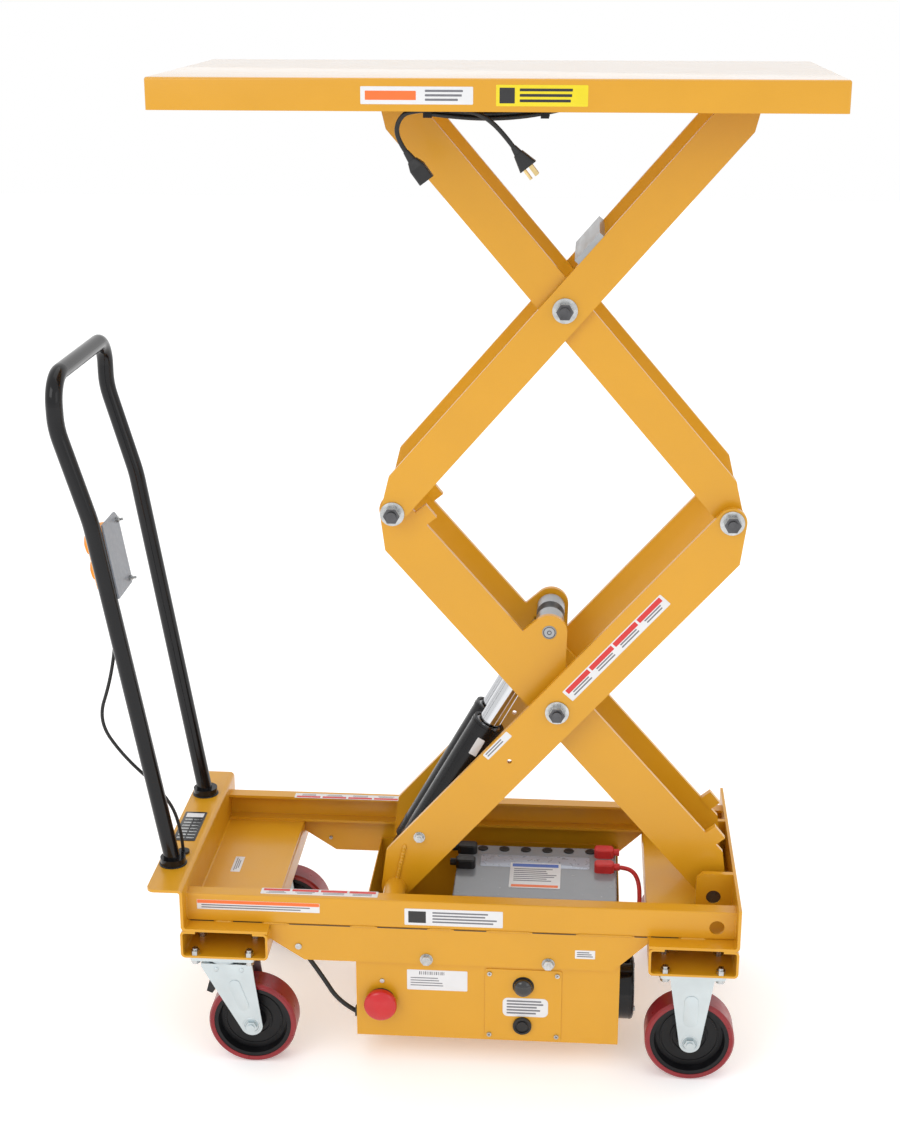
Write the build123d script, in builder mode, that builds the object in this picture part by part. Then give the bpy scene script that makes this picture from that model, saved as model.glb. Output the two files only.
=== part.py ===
from build123d import *
import os
from math import atan2, cos, degrees, hypot, radians, sin, tan

# Battery powered double scissor lift table on four casters, drawn raised.
# Millimetres, +Z up, +X towards the fixed pivots, near side at -Y.
# The origin is under the middle of the whole table, on the floor.

os.makedirs("parts", exist_ok=True)

# ---------------------------------------------------------------- driving dimensions
deck_length, deck_width, deck_skirt, deck_sheet = 1016.0, 508.0, 47.0, 3.0
deck_left = -404.25

arm_span = 873.0                     # pin to pin
raised_angle = radians(50.8)
pivot_x = 487.25                     # the fixed pivots, base and deck
pivot_z = 289.5
arm_plate = 10.0
fit = 0.05                           # radial clearance of every shaft in its hole
gap = 0.2                            # side clearance between turning faces

lower_arm_height, lower_arm_drift = 82.0, 17.0
upper_arm_height, upper_arm_drift = 65.0, 12.5
lower_outer_y, upper_outer_y = 107.0, 95.0       # middle planes of the arm plates
upper_inner_y, lower_inner_y = 83.0, 71.0

shaft_radius, thread_radius = 12.7, 8.0
washer_radius, washer_thick = 20.0, 3.0
nut_flats, nut_thick, thread_past_nut = 24.0, 13.0, 4.0
tube_radius = 19.0

roller_radius, roller_width = 20.0, 20.0
rail_web_y, rail_sheet, rail_flange = 209.0, 5.0, 27.0
rail_inside = 40.8
track_web_y, track_sheet = 128.0, 4.0

beam_width, beam_height, beam_wall, beam_lip = 150.0, 50.0, 4.0, 26.0
base_half_width = 239.5
beam_bottom = 209.0
left_beam_x, right_beam_x = -345.0, 449.0        # middles of the two caster beams

box_left, box_right, box_bottom, box_top = -124.0, 328.0, 50.0, 225.0
box_half_width, box_sheet = 203.8, 2.0

wheel_radius, wheel_width, caster_y = 76.2, 50.0, 200.0
swivel_x, caster_trail = -350.0, 46.0

handle_radius, handle_wall = 14.0, 2.5

cylinder_y, barrel_radius, barrel_wall, rod_radius = 34.0, 29.0, 5.0, 19.0
barrel_start, barrel_end = 26.0, 326.0           # from the lower roller axle
rod_pin_along, rod_pin_above = 110.4, 69.5       # from the lower centre pin, in arm directions

# ---------------------------------------------------------------- pivots at the raised position
half_span = arm_span / 2
run, rise = half_span * cos(raised_angle), half_span * sin(raised_angle)
base_fixed = (pivot_x, pivot_z)
base_rolling = (pivot_x - 2 * run, pivot_z)
lower_centre = (pivot_x - run, pivot_z + rise)
left_joint = (pivot_x - 2 * run, pivot_z + 2 * rise)
right_joint = (pivot_x, pivot_z + 2 * rise)
upper_centre = (pivot_x - run, pivot_z + 3 * rise)
deck_rolling = (pivot_x - 2 * run, pivot_z + 4 * rise)
deck_fixed = (pivot_x, pivot_z + 4 * rise)

roller_play = 0.3
deck_top = deck_fixed[1] + roller_radius + roller_play + deck_sheet
deck_under = deck_top - deck_sheet
skirt_bottom = deck_top - deck_skirt
deck_right = deck_left + deck_length
rail_low = pivot_z - rail_inside / 2 - rail_sheet
rail_high = pivot_z + rail_inside / 2 + rail_sheet

# The lift cylinders run from the lower roller axle to a pin above the lower inner arms.
up_left = (-cos(raised_angle), sin(raised_angle))
over_left = (sin(raised_angle), cos(raised_angle))
rod_pin = tuple(
    lower_centre[i] + rod_pin_along * up_left[i] + rod_pin_above * over_left[i] for i in (0, 1)
)
cylinder_reach = hypot(rod_pin[0] - base_rolling[0], rod_pin[1] - base_rolling[1])
cylinder_angle = atan2(rod_pin[1] - base_rolling[1], rod_pin[0] - base_rolling[0])


# ---------------------------------------------------------------- helpers
def save(piece, name):
    """Label a finished piece and write it under its node's name."""
    piece.part.label = name
    export_step(piece.part, f"parts/{name}.step")


def side_plane(y):
    """A drawing plane facing -Y whose x is X and whose y is Z."""
    return Plane.XZ.offset(-y)


def end_plane(x):
    """A drawing plane facing +X whose x is Y and whose y is Z."""
    return Plane.YZ.offset(x)


def arm_plane(pivot, lean, y):
    """The plane of an arm plate: x runs up its pin line, y is its upper side."""
    x_dir = (lean * cos(raised_angle), 0, sin(raised_angle))
    return Plane(origin=(pivot[0], y, pivot[1]), x_dir=x_dir, z_dir=(0, -lean, 0))


def bar_across(spot, radius, low, high):
    """Add a round bar along Y, from y = low to y = high, at an X, Z spot."""
    with BuildSketch(side_plane(high)) as disc:
        with Locations(spot):
            Circle(radius)
    extrude(disc.sketch, amount=high - low)


def ring_across(spot, outer, inner, low, high):
    """Add a ring with its axis along Y."""
    with BuildSketch(side_plane(high)) as disc:
        with Locations(spot):
            Circle(outer)
            Circle(inner, mode=Mode.SUBTRACT)
    extrude(disc.sketch, amount=high - low)


def mirrored_rings(spot, outer, inner, low, high):
    """Add a ring on each side, at low < |y| < high."""
    ring_across(spot, outer, inner, low, high)
    ring_across(spot, outer, inner, -high, -low)


def hex_nut(spot, low, high):
    """Add a hexagon nut with its axis along Y."""
    with BuildSketch(side_plane(high)) as nut:
        with Locations(spot):
            RegularPolygon(nut_flats / 2, 6, major_radius=False)
    extrude(nut.sketch, amount=high - low)


def threaded_shaft(spot, outer_face):
    """Add a shaft right across the table, with a washer and a nut on each threaded end."""
    washer_out = outer_face + washer_thick
    end = washer_out + nut_thick + thread_past_nut
    bar_across(spot, shaft_radius, -washer_out, washer_out)
    bar_across(spot, thread_radius, -end, end)
    mirrored_rings(spot, washer_radius, shaft_radius, outer_face + 0.02, washer_out)
    hex_nut(spot, washer_out, washer_out + nut_thick)
    hex_nut(spot, -washer_out - nut_thick, -washer_out)


def scissor_pair(pivot, lean, y, height, drift, small_holes=()):
    """Two flat arm plates whose middle line drifts across the line of their three pins."""
    nose = height / 2 - drift
    heel_run, heel_round = 46.0, 3.0
    heel_rise = height / 2 + drift - 2 * drift * heel_run / arm_span - heel_round
    with BuildPart() as pair:
        for side in (-1, 1):
            with BuildSketch(arm_plane(pivot, lean, side * y)):
                with Locations((0, 0), (arm_span, 0)):
                    Circle(nose)
                with Locations((heel_run, heel_rise), (arm_span - heel_run, -heel_rise)):
                    Circle(heel_round)
                make_hull()
                with Locations((0, 0), (half_span, 0), (arm_span, 0)):
                    Circle(shaft_radius + fit, mode=Mode.SUBTRACT)
                for along, above, radius in small_holes:
                    with Locations((along, above)):
                        Circle(radius, mode=Mode.SUBTRACT)
            extrude(amount=arm_plate / 2, both=True)
    return pair


def channel(plane, web, depth, height, thick, length):
    """Add a C-channel with its web at local x = web and its flanges towards x = 0."""
    side = 1 if web > 0 else -1
    with BuildSketch(plane) as section:
        with Locations((web - side * depth / 2, 0)):
            Rectangle(depth, height)
        with Locations((web - side * (depth + thick) / 2, 0)):
            Rectangle(depth - thick + 0.001, height - 2 * thick, mode=Mode.SUBTRACT)
    extrude(section.sketch, amount=length)


# ---------------------------------------------------------------- scissor arms
lower_outer_face = lower_outer_y + arm_plate / 2
upper_outer_face = upper_outer_y + arm_plate / 2
upper_inner_face = upper_inner_y + arm_plate / 2
lower_inner_face = lower_inner_y + arm_plate / 2
drain_hole, keeper_bolt = (315.0, 3.0, 4.0), (103.0, 29.0, 4.0)

with BuildPart() as lower_outer_plates:
    add(scissor_pair(
        base_rolling, 1, lower_outer_y, lower_arm_height, lower_arm_drift,
        (drain_hole, keeper_bolt),
    ).part)
save(lower_outer_plates, "lower_outer_plates")

# Tubes welded between the plates of the other pairs turn on the shafts.
with BuildPart() as lower_inner_plates:
    add(scissor_pair(base_fixed, -1, lower_inner_y, lower_arm_height, lower_arm_drift).part)
    inside = lower_inner_y - arm_plate / 2
    for spot in (base_fixed, lower_centre, left_joint):
        ring_across(spot, tube_radius, shaft_radius + fit, -inside, inside)
save(lower_inner_plates, "lower_inner_plates")

with BuildPart() as upper_outer_plates:
    add(scissor_pair(left_joint, 1, upper_outer_y, upper_arm_height, upper_arm_drift).part)
    inside = upper_outer_y - arm_plate / 2
    ring_across(deck_fixed, tube_radius, shaft_radius + fit, -inside, inside)
save(upper_outer_plates, "upper_outer_plates")

with BuildPart() as upper_inner_plates:
    add(scissor_pair(right_joint, -1, upper_inner_y, upper_arm_height, upper_arm_drift).part)
    inside = upper_inner_y - arm_plate / 2
    for spot in (right_joint, upper_centre, deck_rolling):
        ring_across(spot, tube_radius, shaft_radius + fit, -inside, inside)
save(upper_inner_plates, "upper_inner_plates")

# Shafts, washers, nuts and spacer rings that turn with the lower outer arms.
rail_inner_face = rail_web_y - rail_sheet
lower_roller_out = rail_inner_face - 1
lower_roller_in = lower_roller_out - roller_width
with BuildPart() as lower_outer_shafts:
    threaded_shaft(lower_centre, lower_outer_face)
    threaded_shaft(right_joint, lower_outer_face)
    bar_across(base_rolling, shaft_radius, -lower_roller_out, lower_roller_out)
    inner_side = lower_outer_face - arm_plate
    mirrored_rings(lower_centre, tube_radius, shaft_radius, lower_inner_face + gap, inner_side)
    mirrored_rings(right_joint, tube_radius, shaft_radius, upper_inner_face + gap, inner_side)
    mirrored_rings(
        base_rolling, tube_radius, shaft_radius, lower_outer_face + 0.02, lower_roller_in - gap
    )
    mirrored_rings(base_rolling, tube_radius, shaft_radius, cylinder_y + 19.5, inner_side - 0.02)
    # Keeper bolts, one through each plate.
    keeper = arm_plane(base_rolling, 1, 0).from_local_coords((keeper_bolt[0], keeper_bolt[1], 0))
    keeper_spot = (keeper.X, keeper.Z)
    for side in (-1, 1):
        for near, far, radius in (
            (inner_side - 5, inner_side - 0.02, 7.0),
            (inner_side - 1, lower_outer_face + 9, keeper_bolt[2] - fit),
            (lower_outer_face + 0.02, lower_outer_face + 1.6, 10.0),
        ):
            low, high = sorted((side * near, side * far))
            bar_across(keeper_spot, radius, low, high)
        with BuildSketch(side_plane(side * (lower_outer_face + 1.5))):
            with Locations(keeper_spot):
                RegularPolygon(7.0, 6, major_radius=False)
        extrude(amount=-side * 6)
save(lower_outer_shafts, "lower_outer_shafts")

with BuildPart() as upper_outer_shafts:
    threaded_shaft(left_joint, upper_outer_face)
    threaded_shaft(upper_centre, upper_outer_face)
    inner_side = upper_outer_face - arm_plate
    mirrored_rings(left_joint, tube_radius, shaft_radius, lower_inner_face + gap, inner_side)
save(upper_outer_shafts, "upper_outer_shafts")

# A bare steel tie plate across the upper edges of the upper outer arms.
with BuildPart() as arm_tie_plate:
    with BuildSketch(arm_plane(left_joint, 1, 0)):
        with Locations(((half_span + 98.0), 33.0)):
            Rectangle(58, 11, rotation=-degrees(2 * upper_arm_drift / arm_span))
    extrude(amount=upper_outer_face - 1, both=True)
    add(upper_outer_plates.part, mode=Mode.SUBTRACT)
save(arm_tie_plate, "arm_tie_plate")

# Rounded brackets on the lower inner arms carry the pin of the cylinder rods; stop blocks
# stand on the same upper edges near both ends.
with BuildPart() as rod_brackets:
    for side in (-1, 1):
        with BuildSketch(arm_plane(base_fixed, -1, side * lower_inner_y)):
            with Locations((half_span + rod_pin_along, rod_pin_above)):
                Circle(30)
            with Locations((half_span + 29, 38), (half_span + 138, 33)):
                Circle(1)
            make_hull()
            with Locations((half_span + rod_pin_along, rod_pin_above)):
                Circle(12 + fit, mode=Mode.SUBTRACT)
        extrude(amount=arm_plate / 2, both=True)
        for along, above in ((78, 64), (arm_span - 40, 36)):
            with BuildSketch(arm_plane(base_fixed, -1, side * (lower_inner_y - 1))):
                with Locations((along, above)):
                    Rectangle(28, 22)
            extrude(amount=6, both=True)
    add(lower_inner_plates.part, mode=Mode.SUBTRACT)
save(rod_brackets, "rod_brackets")

rod_eye_radius = 24.0
with BuildPart() as rod_pin_bar:
    bar_across(rod_pin, 12, -lower_inner_face - 1.5, lower_inner_face + 1.5)
    chamfer(rod_pin_bar.faces().filter_by(Axis.Y).edges(), 1)
    mirrored_rings(rod_pin, rod_eye_radius, 12, cylinder_y - 19, cylinder_y + 19)
save(rod_pin_bar, "rod_pin")

# ---------------------------------------------------------------- rollers and their axles
with BuildPart() as lower_rollers:
    mirrored_rings(
        base_rolling, roller_radius, shaft_radius + fit, lower_roller_in, lower_roller_out
    )
    chamfer(lower_rollers.edges().filter_by(GeomType.CIRCLE).sort_by(SortBy.RADIUS)[-4:], 1)
save(lower_rollers, "lower_rollers")

upper_roller_out = track_web_y - track_sheet - 0.8
upper_roller_in = upper_roller_out - 17
with BuildPart() as upper_roller_axle:
    bar_across(deck_rolling, shaft_radius, -upper_roller_out, upper_roller_out)
    mirrored_rings(
        deck_rolling, tube_radius, shaft_radius, upper_inner_face + 0.02, upper_roller_in - gap
    )
save(upper_roller_axle, "upper_roller_axle")

with BuildPart() as upper_rollers:
    mirrored_rings(
        deck_rolling, roller_radius, shaft_radius + fit, upper_roller_in, upper_roller_out
    )
    chamfer(upper_rollers.edges().filter_by(GeomType.CIRCLE).sort_by(SortBy.RADIUS)[-4:], 1)
save(upper_rollers, "upper_rollers")

# ---------------------------------------------------------------- lift cylinders
cylinder_dir = (cos(cylinder_angle), 0, sin(cylinder_angle))


def cylinder_plane(y, along):
    """A plane square to a cylinder, at a distance along it from the roller axle."""
    origin = (
        base_rolling[0] + along * cylinder_dir[0], y, base_rolling[1] + along * cylinder_dir[2]
    )
    return Plane(origin=origin, x_dir=(0, 1, 0), z_dir=cylinder_dir)


rod_gap = 2.0
rod_end = cylinder_reach - rod_eye_radius - rod_gap
rod_start, piston_thick = barrel_end - 60, 24.0
gland_thick, gland_recess = 18.0, 4.0

with BuildPart() as cylinder_barrels:
    for side in (-1, 1):
        with BuildSketch(cylinder_plane(side * cylinder_y, barrel_start)):
            Circle(barrel_radius)
        extrude(amount=14)
        with BuildSketch(cylinder_plane(side * cylinder_y, barrel_start)):
            Circle(barrel_radius)
            Circle(barrel_radius - barrel_wall, mode=Mode.SUBTRACT)
        extrude(amount=barrel_end - barrel_start)
        with BuildSketch(cylinder_plane(side * cylinder_y, barrel_end - gland_recess - gland_thick)):
            Circle(barrel_radius - barrel_wall)
            Circle(rod_radius + fit, mode=Mode.SUBTRACT)
        extrude(amount=gland_thick)
        with BuildSketch(side_plane(side * (cylinder_y + side * 17))):
            with Locations(base_rolling):
                Circle(22)
            with Locations(tuple(cylinder_plane(0, barrel_start + 2).origin)[::2]):
                Rectangle(8, 40, rotation=degrees(cylinder_angle))
            make_hull()
        extrude(amount=34)
        with BuildSketch(side_plane(side * (cylinder_y + side * 17))):
            with Locations(base_rolling):
                Circle(shaft_radius + fit)
        extrude(amount=34, mode=Mode.SUBTRACT)
save(cylinder_barrels, "cylinder_barrels")

with BuildPart() as cylinder_rods:
    for side in (-1, 1):
        with BuildSketch(cylinder_plane(side * cylinder_y, rod_start)):
            Circle(rod_radius)
        extrude(amount=rod_end - rod_start)
        with BuildSketch(cylinder_plane(side * cylinder_y, rod_start)):
            Circle(barrel_radius - barrel_wall - fit)
        extrude(amount=piston_thick)
save(cylinder_rods, "cylinder_rods")

# ---------------------------------------------------------------- deck
with BuildPart() as deck_shell:
    with BuildSketch(Plane.XY.offset(skirt_bottom)):
        with Locations(((deck_left + deck_right) / 2, 0)):
            RectangleRounded(deck_length, deck_width, 6)
    extrude(amount=deck_skirt)
    with BuildSketch(Plane.XY.offset(skirt_bottom)):
        with Locations(((deck_left + deck_right) / 2, 0)):
            RectangleRounded(deck_length - 2 * deck_sheet, deck_width - 2 * deck_sheet, 3)
    extrude(amount=deck_skirt - deck_sheet, mode=Mode.SUBTRACT)
    fillet(deck_shell.faces().sort_by(Axis.Z)[-1].edges(), 2.5)
save(deck_shell, "deck_shell")

track_length = 400.0
track_height = deck_under - (deck_rolling[1] - roller_radius - roller_play - track_sheet)
bracket_in, bracket_thick = upper_outer_face + 3.0, 8.0
with BuildPart() as deck_underframe:
    for side in (-1, 1):
        with BuildSketch(end_plane(deck_left + deck_sheet)):
            with Locations((side * (track_web_y - track_sheet / 2), deck_under - track_height / 2)):
                Rectangle(track_sheet, track_height)
            low = deck_under - track_height + track_sheet / 2
            with Locations((side * (track_web_y - 11), low)):
                Rectangle(22, track_sheet)
        extrude(amount=track_length)
    with BuildSketch(Plane.XY.offset(deck_under)):
        with Locations(((deck_left + deck_right) / 2, -150), ((deck_left + deck_right) / 2, 150)):
            Rectangle(deck_length - 2 * deck_sheet, 5)
    extrude(amount=-28)
    for side in (-1, 1):
        with BuildSketch(side_plane(side * bracket_in)):
            with Locations((pivot_x, deck_under - 10)):
                Rectangle(84, 20)
            with Locations(deck_fixed):
                Circle(20)
            make_hull()
        extrude(amount=-side * bracket_thick)
    shaft_end = bracket_in + bracket_thick + 5
    bar_across(deck_fixed, shaft_radius, -shaft_end, shaft_end)
save(deck_underframe, "deck_underframe")

# ---------------------------------------------------------------- base frame
sheet = 5.0                                      # bent end plates
tray_top = rail_low
handle_plate_top = 336.5
flange_left, fold_x, tray_right = -475.0, -415.5, -270.0

with BuildPart() as handle_end_plate:
    with BuildSketch(side_plane(0)):
        with BuildLine() as bend:
            FilletPolyline(
                (flange_left, handle_plate_top - sheet / 2),
                (fold_x, handle_plate_top - sheet / 2),
                (fold_x, tray_top - sheet / 2),
                (tray_right, tray_top - sheet / 2),
                radius=6,
            )
        trace(bend.line, line_width=sheet)
    extrude(amount=base_half_width, both=True)
    corners = handle_end_plate.edges().filter_by(Axis.Z).filter_by(
        lambda edge: edge.center().X < flange_left + 1
    )
    fillet(corners, 14)
    grommet_spot = (-440.0, -100.0)
    with BuildSketch(Plane.XY.offset(handle_plate_top)):
        with Locations(grommet_spot):
            Circle(8)
    extrude(amount=-sheet, mode=Mode.SUBTRACT)
save(handle_end_plate, "handle_end_plate")

end_plate_x, end_plate_top = 522.0, 335.0
with BuildPart() as pivot_end_plate:
    with BuildSketch(side_plane(0)):
        with BuildLine() as bend:
            FilletPolyline(
                (right_beam_x - beam_width / 2, tray_top - sheet / 2),
                (end_plate_x, tray_top - sheet / 2),
                (end_plate_x, end_plate_top),
                radius=6,
            )
        trace(bend.line, line_width=sheet)
    extrude(amount=base_half_width, both=True)
save(pivot_end_plate, "pivot_end_plate")

rail_start, rail_end = fold_x + sheet / 2, end_plate_x - sheet / 2
hole_in_rail = (pivot_x, pivot_z - 3)
with BuildPart() as side_rails:
    for side in (-1, 1):
        channel(
            Plane(origin=(rail_start, 0, pivot_z), x_dir=(0, 1, 0), z_dir=(1, 0, 0)),
            side * rail_web_y, rail_flange, rail_high - rail_low, rail_sheet, rail_end - rail_start,
        )
    outer_edges = side_rails.edges().filter_by(Axis.X).filter_by(
        lambda edge: abs(edge.center().Y) > rail_web_y - 0.1
    )
    fillet(outer_edges, 3)
    with BuildSketch(side_plane(0)):
        with Locations(hole_in_rail):
            Circle(12.7)
    extrude(amount=rail_web_y + 1, both=True, mode=Mode.SUBTRACT)
    add(handle_end_plate.part, mode=Mode.SUBTRACT)
    add(pivot_end_plate.part, mode=Mode.SUBTRACT)
save(side_rails, "side_rails")

skirt_low, skirt_sheet = 196.0, 4.8
skirt_outline = [
    (left_beam_x + beam_width / 2, rail_low), (right_beam_x - beam_width / 2, rail_low),
    (right_beam_x - beam_width / 2, 252), (315, skirt_low), (-212, skirt_low),
    (left_beam_x + beam_width / 2, 234),
]
box_bolts = ((-2.0, 205.5), (206.0, 205.5))
clip_spot = (-222.0, 222.0)
with BuildPart() as skirt_plates:
    for side in (-1, 1):
        with BuildSketch(side_plane(side * (box_half_width + skirt_sheet / 2 + 0.05))):
            with BuildLine():
                Polyline(*skirt_outline, close=True)
            make_face()
            with Locations(*box_bolts):
                Circle(5 + fit, mode=Mode.SUBTRACT)
            with Locations(clip_spot):
                Circle(3.5, mode=Mode.SUBTRACT)
        extrude(amount=skirt_sheet / 2, both=True)
    add(handle_end_plate.part, mode=Mode.SUBTRACT)
    add(pivot_end_plate.part, mode=Mode.SUBTRACT)
save(skirt_plates, "skirt_plates")

caster_bolt_x, caster_bolt_y, bolt_radius = 46.5, 32.0, 5.0
caster_bolt_spots = [
    (x + sx * caster_bolt_x, side * caster_y + sy * caster_bolt_y)
    for x in (swivel_x, right_beam_x) for side in (-1, 1) for sx in (-1, 1) for sy in (-1, 1)
]
with BuildPart() as caster_beams:
    for middle in (left_beam_x, right_beam_x):
        with BuildSketch(side_plane(0)):
            with Locations((middle, beam_bottom + beam_height / 2)):
                RectangleRounded(beam_width, beam_height, 8)
                RectangleRounded(
                    beam_width - 2 * beam_wall, beam_height - 2 * beam_wall, 4, mode=Mode.SUBTRACT
                )
            with Locations((middle, beam_bottom + beam_height)):
                Rectangle(beam_width - 2 * beam_lip, 3 * beam_wall, mode=Mode.SUBTRACT)
        extrude(amount=base_half_width, both=True)
    with BuildSketch(Plane.XY.offset(beam_bottom)):
        with Locations(*caster_bolt_spots):
            Circle(bolt_radius + fit)
    extrude(amount=2 * beam_wall, mode=Mode.SUBTRACT)
save(caster_beams, "caster_beams")

base_bracket_out, base_bracket_in = 108.0, 98.0
with BuildPart() as pivot_brackets:
    for side in (-1, 1):
        low, high = sorted((side * base_bracket_in, side * base_bracket_out))
        with BuildSketch(side_plane(high)):
            with BuildLine():
                Polyline(
                    (457, tray_top), (rail_end, tray_top), (rail_end, end_plate_top - 1),
                    (468, end_plate_top - 1), (457, end_plate_top - 12), close=True,
                )
            make_face()
            with Locations(base_fixed):
                Circle(shaft_radius + fit, mode=Mode.SUBTRACT)
        extrude(amount=high - low)
    add(pivot_end_plate.part, mode=Mode.SUBTRACT)
save(pivot_brackets, "pivot_brackets")

with BuildPart() as base_pivot_shaft:
    bar_across(base_fixed, shaft_radius, -base_bracket_out + 3, base_bracket_out - 3)
    mirrored_rings(
        base_fixed, tube_radius, shaft_radius, lower_inner_face + gap, base_bracket_in
    )
save(base_pivot_shaft, "base_pivot_shaft")

# ---------------------------------------------------------------- control box and what it holds
box_middle = (box_left + box_right) / 2
panel_left, panel_right, panel_low, panel_high = 98.0, 230.0, 53.0, 190.0
panel_middle = ((panel_left + panel_right) / 2, (panel_low + panel_high) / 2)
panel_sheet = 1.6
estop_spot, valve_spot, socket_spot = (-81.0, 118.5), (164.0, 158.0), (163.0, 82.0)
estop_stem, knob_stem = 11.0, 5.0
motor_spot, motor_radius = (-140.0, 127.0), 55.0          # y and z of its axis
motor_left, motor_right = 190.0, 353.0

with BuildPart() as control_box:
    with BuildSketch(Plane.XY.offset(box_bottom)):
        with Locations((box_middle, 0)):
            Rectangle(box_right - box_left, 2 * box_half_width)
    extrude(amount=box_top - box_bottom)
    with BuildSketch(Plane.XY.offset(box_bottom + box_sheet)):
        with Locations((box_middle, 0)):
            Rectangle(box_right - box_left - 2 * box_sheet, 2 * (box_half_width - box_sheet))
    extrude(amount=box_top, mode=Mode.SUBTRACT)
    with BuildSketch(side_plane(-box_half_width)):
        with Locations(estop_spot):
            Circle(estop_stem + fit)
        with Locations(valve_spot):
            Circle(knob_stem + fit)
    extrude(amount=-2 * box_sheet, mode=Mode.SUBTRACT)
    with BuildSketch(side_plane(0)):
        with Locations(*box_bolts):
            Circle(5 + fit)
    extrude(amount=2 * box_half_width, both=True, mode=Mode.SUBTRACT)
    with BuildSketch(end_plane(box_right)):
        with Locations(motor_spot):
            Circle(motor_radius + 1)
    extrude(amount=-2 * box_sheet, mode=Mode.SUBTRACT)
save(control_box, "control_box")

with BuildPart() as access_panel:
    with BuildSketch(side_plane(-box_half_width - 0.02)):
        with Locations(panel_middle):
            RectangleRounded(panel_right - panel_left, panel_high - panel_low, 4)
        with Locations(valve_spot):
            Circle(knob_stem + fit, mode=Mode.SUBTRACT)
    extrude(amount=panel_sheet)
    chamfer(access_panel.faces().sort_by(Axis.Y)[0].outer_wire().edges(), 0.5)
save(access_panel, "access_panel")

panel_face = -box_half_width - panel_sheet - 0.02
panel_screw_spots = [
    (x, z) for x in (panel_left + 8, panel_right - 8) for z in (panel_low + 9, panel_high - 9)
]
estop_face = -box_half_width - 9
with BuildPart() as estop_button:
    bar_across(estop_spot, estop_stem, estop_face, -box_half_width + 12)
    with BuildSketch(Plane(origin=(estop_spot[0], 0, estop_spot[1]))):
        with BuildLine():
            Polyline((0, estop_face), (28, estop_face), (28.5, estop_face - 6))
            Spline(
                (28.5, estop_face - 6), (20, estop_face - 15), (0, estop_face - 19),
                tangents=[(0, -1), (-1, 0)],
            )
            Line((0, estop_face - 19), (0, estop_face))
        make_face()
    revolve(axis=Axis((estop_spot[0], 0, estop_spot[1]), (0, 1, 0)))
save(estop_button, "estop_button")

with BuildPart() as valve_knob:
    bar_across(valve_spot, knob_stem, panel_face - 3, -box_half_width + 16)
    with BuildSketch(Plane(origin=(valve_spot[0], 0, valve_spot[1]))):
        with BuildLine():
            Polyline((0, panel_face - 0.3), (16, panel_face - 0.3), (16, panel_face - 5))
            Spline(
                (16, panel_face - 5), (11.5, panel_face - 12), (0, panel_face - 15),
                tangents=[(0, -1), (-1, 0)],
            )
            Line((0, panel_face - 15), (0, panel_face - 0.3))
        make_face()
    revolve(axis=Axis((valve_spot[0], 0, valve_spot[1]), (0, 1, 0)))
save(valve_knob, "valve_knob")

# Pump unit: the motor can, the valve block and the oil tank in line.
with BuildPart() as pump_unit:
    with BuildSketch(end_plane(motor_left)):
        with Locations(motor_spot):
            Circle(motor_radius)
    extrude(amount=motor_right - motor_left)
    fillet(pump_unit.faces().sort_by(Axis.X)[-1].edges(), 4)
    with BuildSketch(end_plane(motor_left - 50)):
        with Locations(motor_spot):
            RectangleRounded(90, 90, 5)
    extrude(amount=50)
    with BuildSketch(end_plane(-60)):
        with Locations(motor_spot):
            RectangleRounded(108, 128, 12)
    extrude(amount=motor_left - 50 + 60)
    with BuildSketch(Plane.XY.offset(motor_spot[1] + 64)):
        with Locations((-20, motor_spot[0])):
            Circle(14)
    extrude(amount=9)
    terminal = (motor_right - 12, motor_spot[0])
    with BuildSketch(Plane.XY.offset(motor_spot[1] + motor_radius - 6)):
        with Locations(terminal):
            Circle(6)
    extrude(amount=18)
save(pump_unit, "pump_unit")

battery_left, battery_right, battery_low, battery_high = 31.0, 323.0, 52.05, 224.0
battery_near, battery_far, battery_lid_top = -64.0, 138.0, 250.0
battery_middle = ((battery_left + battery_right) / 2, (battery_near + battery_far) / 2)
battery_size = (battery_right - battery_left, battery_far - battery_near)
with BuildPart() as battery:
    with BuildSketch(Plane.XY.offset(battery_low)):
        with Locations(battery_middle):
            RectangleRounded(battery_size[0] - 4, battery_size[1] - 4, 6)
    extrude(amount=battery_high - battery_low)
    with BuildSketch(Plane.XY.offset(battery_high)):
        with Locations(battery_middle):
            RectangleRounded(*battery_size, 7)
    extrude(amount=battery_lid_top - battery_high)
    fillet(battery.faces().sort_by(Axis.Z)[-1].edges(), 3)
save(battery, "battery")

boot_rows = (109.0, 51.0)                        # y of the two posts at each end
boot_base = battery_lid_top + 0.05
positive_x, negative_x = 301.0, 48.0
spout_z = boot_base + 8


def terminal_boots(post_x, outward):
    """Two rubber boots over the posts, each with a spout for its cable."""
    for y in boot_rows:
        with BuildSketch(Plane.XY.offset(boot_base)) as cap:
            with Locations((post_x, y)):
                RectangleRounded(36, 24, 8)
        extrude(cap.sketch, amount=17)
        with BuildSketch(end_plane(post_x)) as spout:
            with Locations((y, spout_z)):
                Circle(6.5)
        extrude(spout.sketch, amount=outward * 28)


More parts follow.
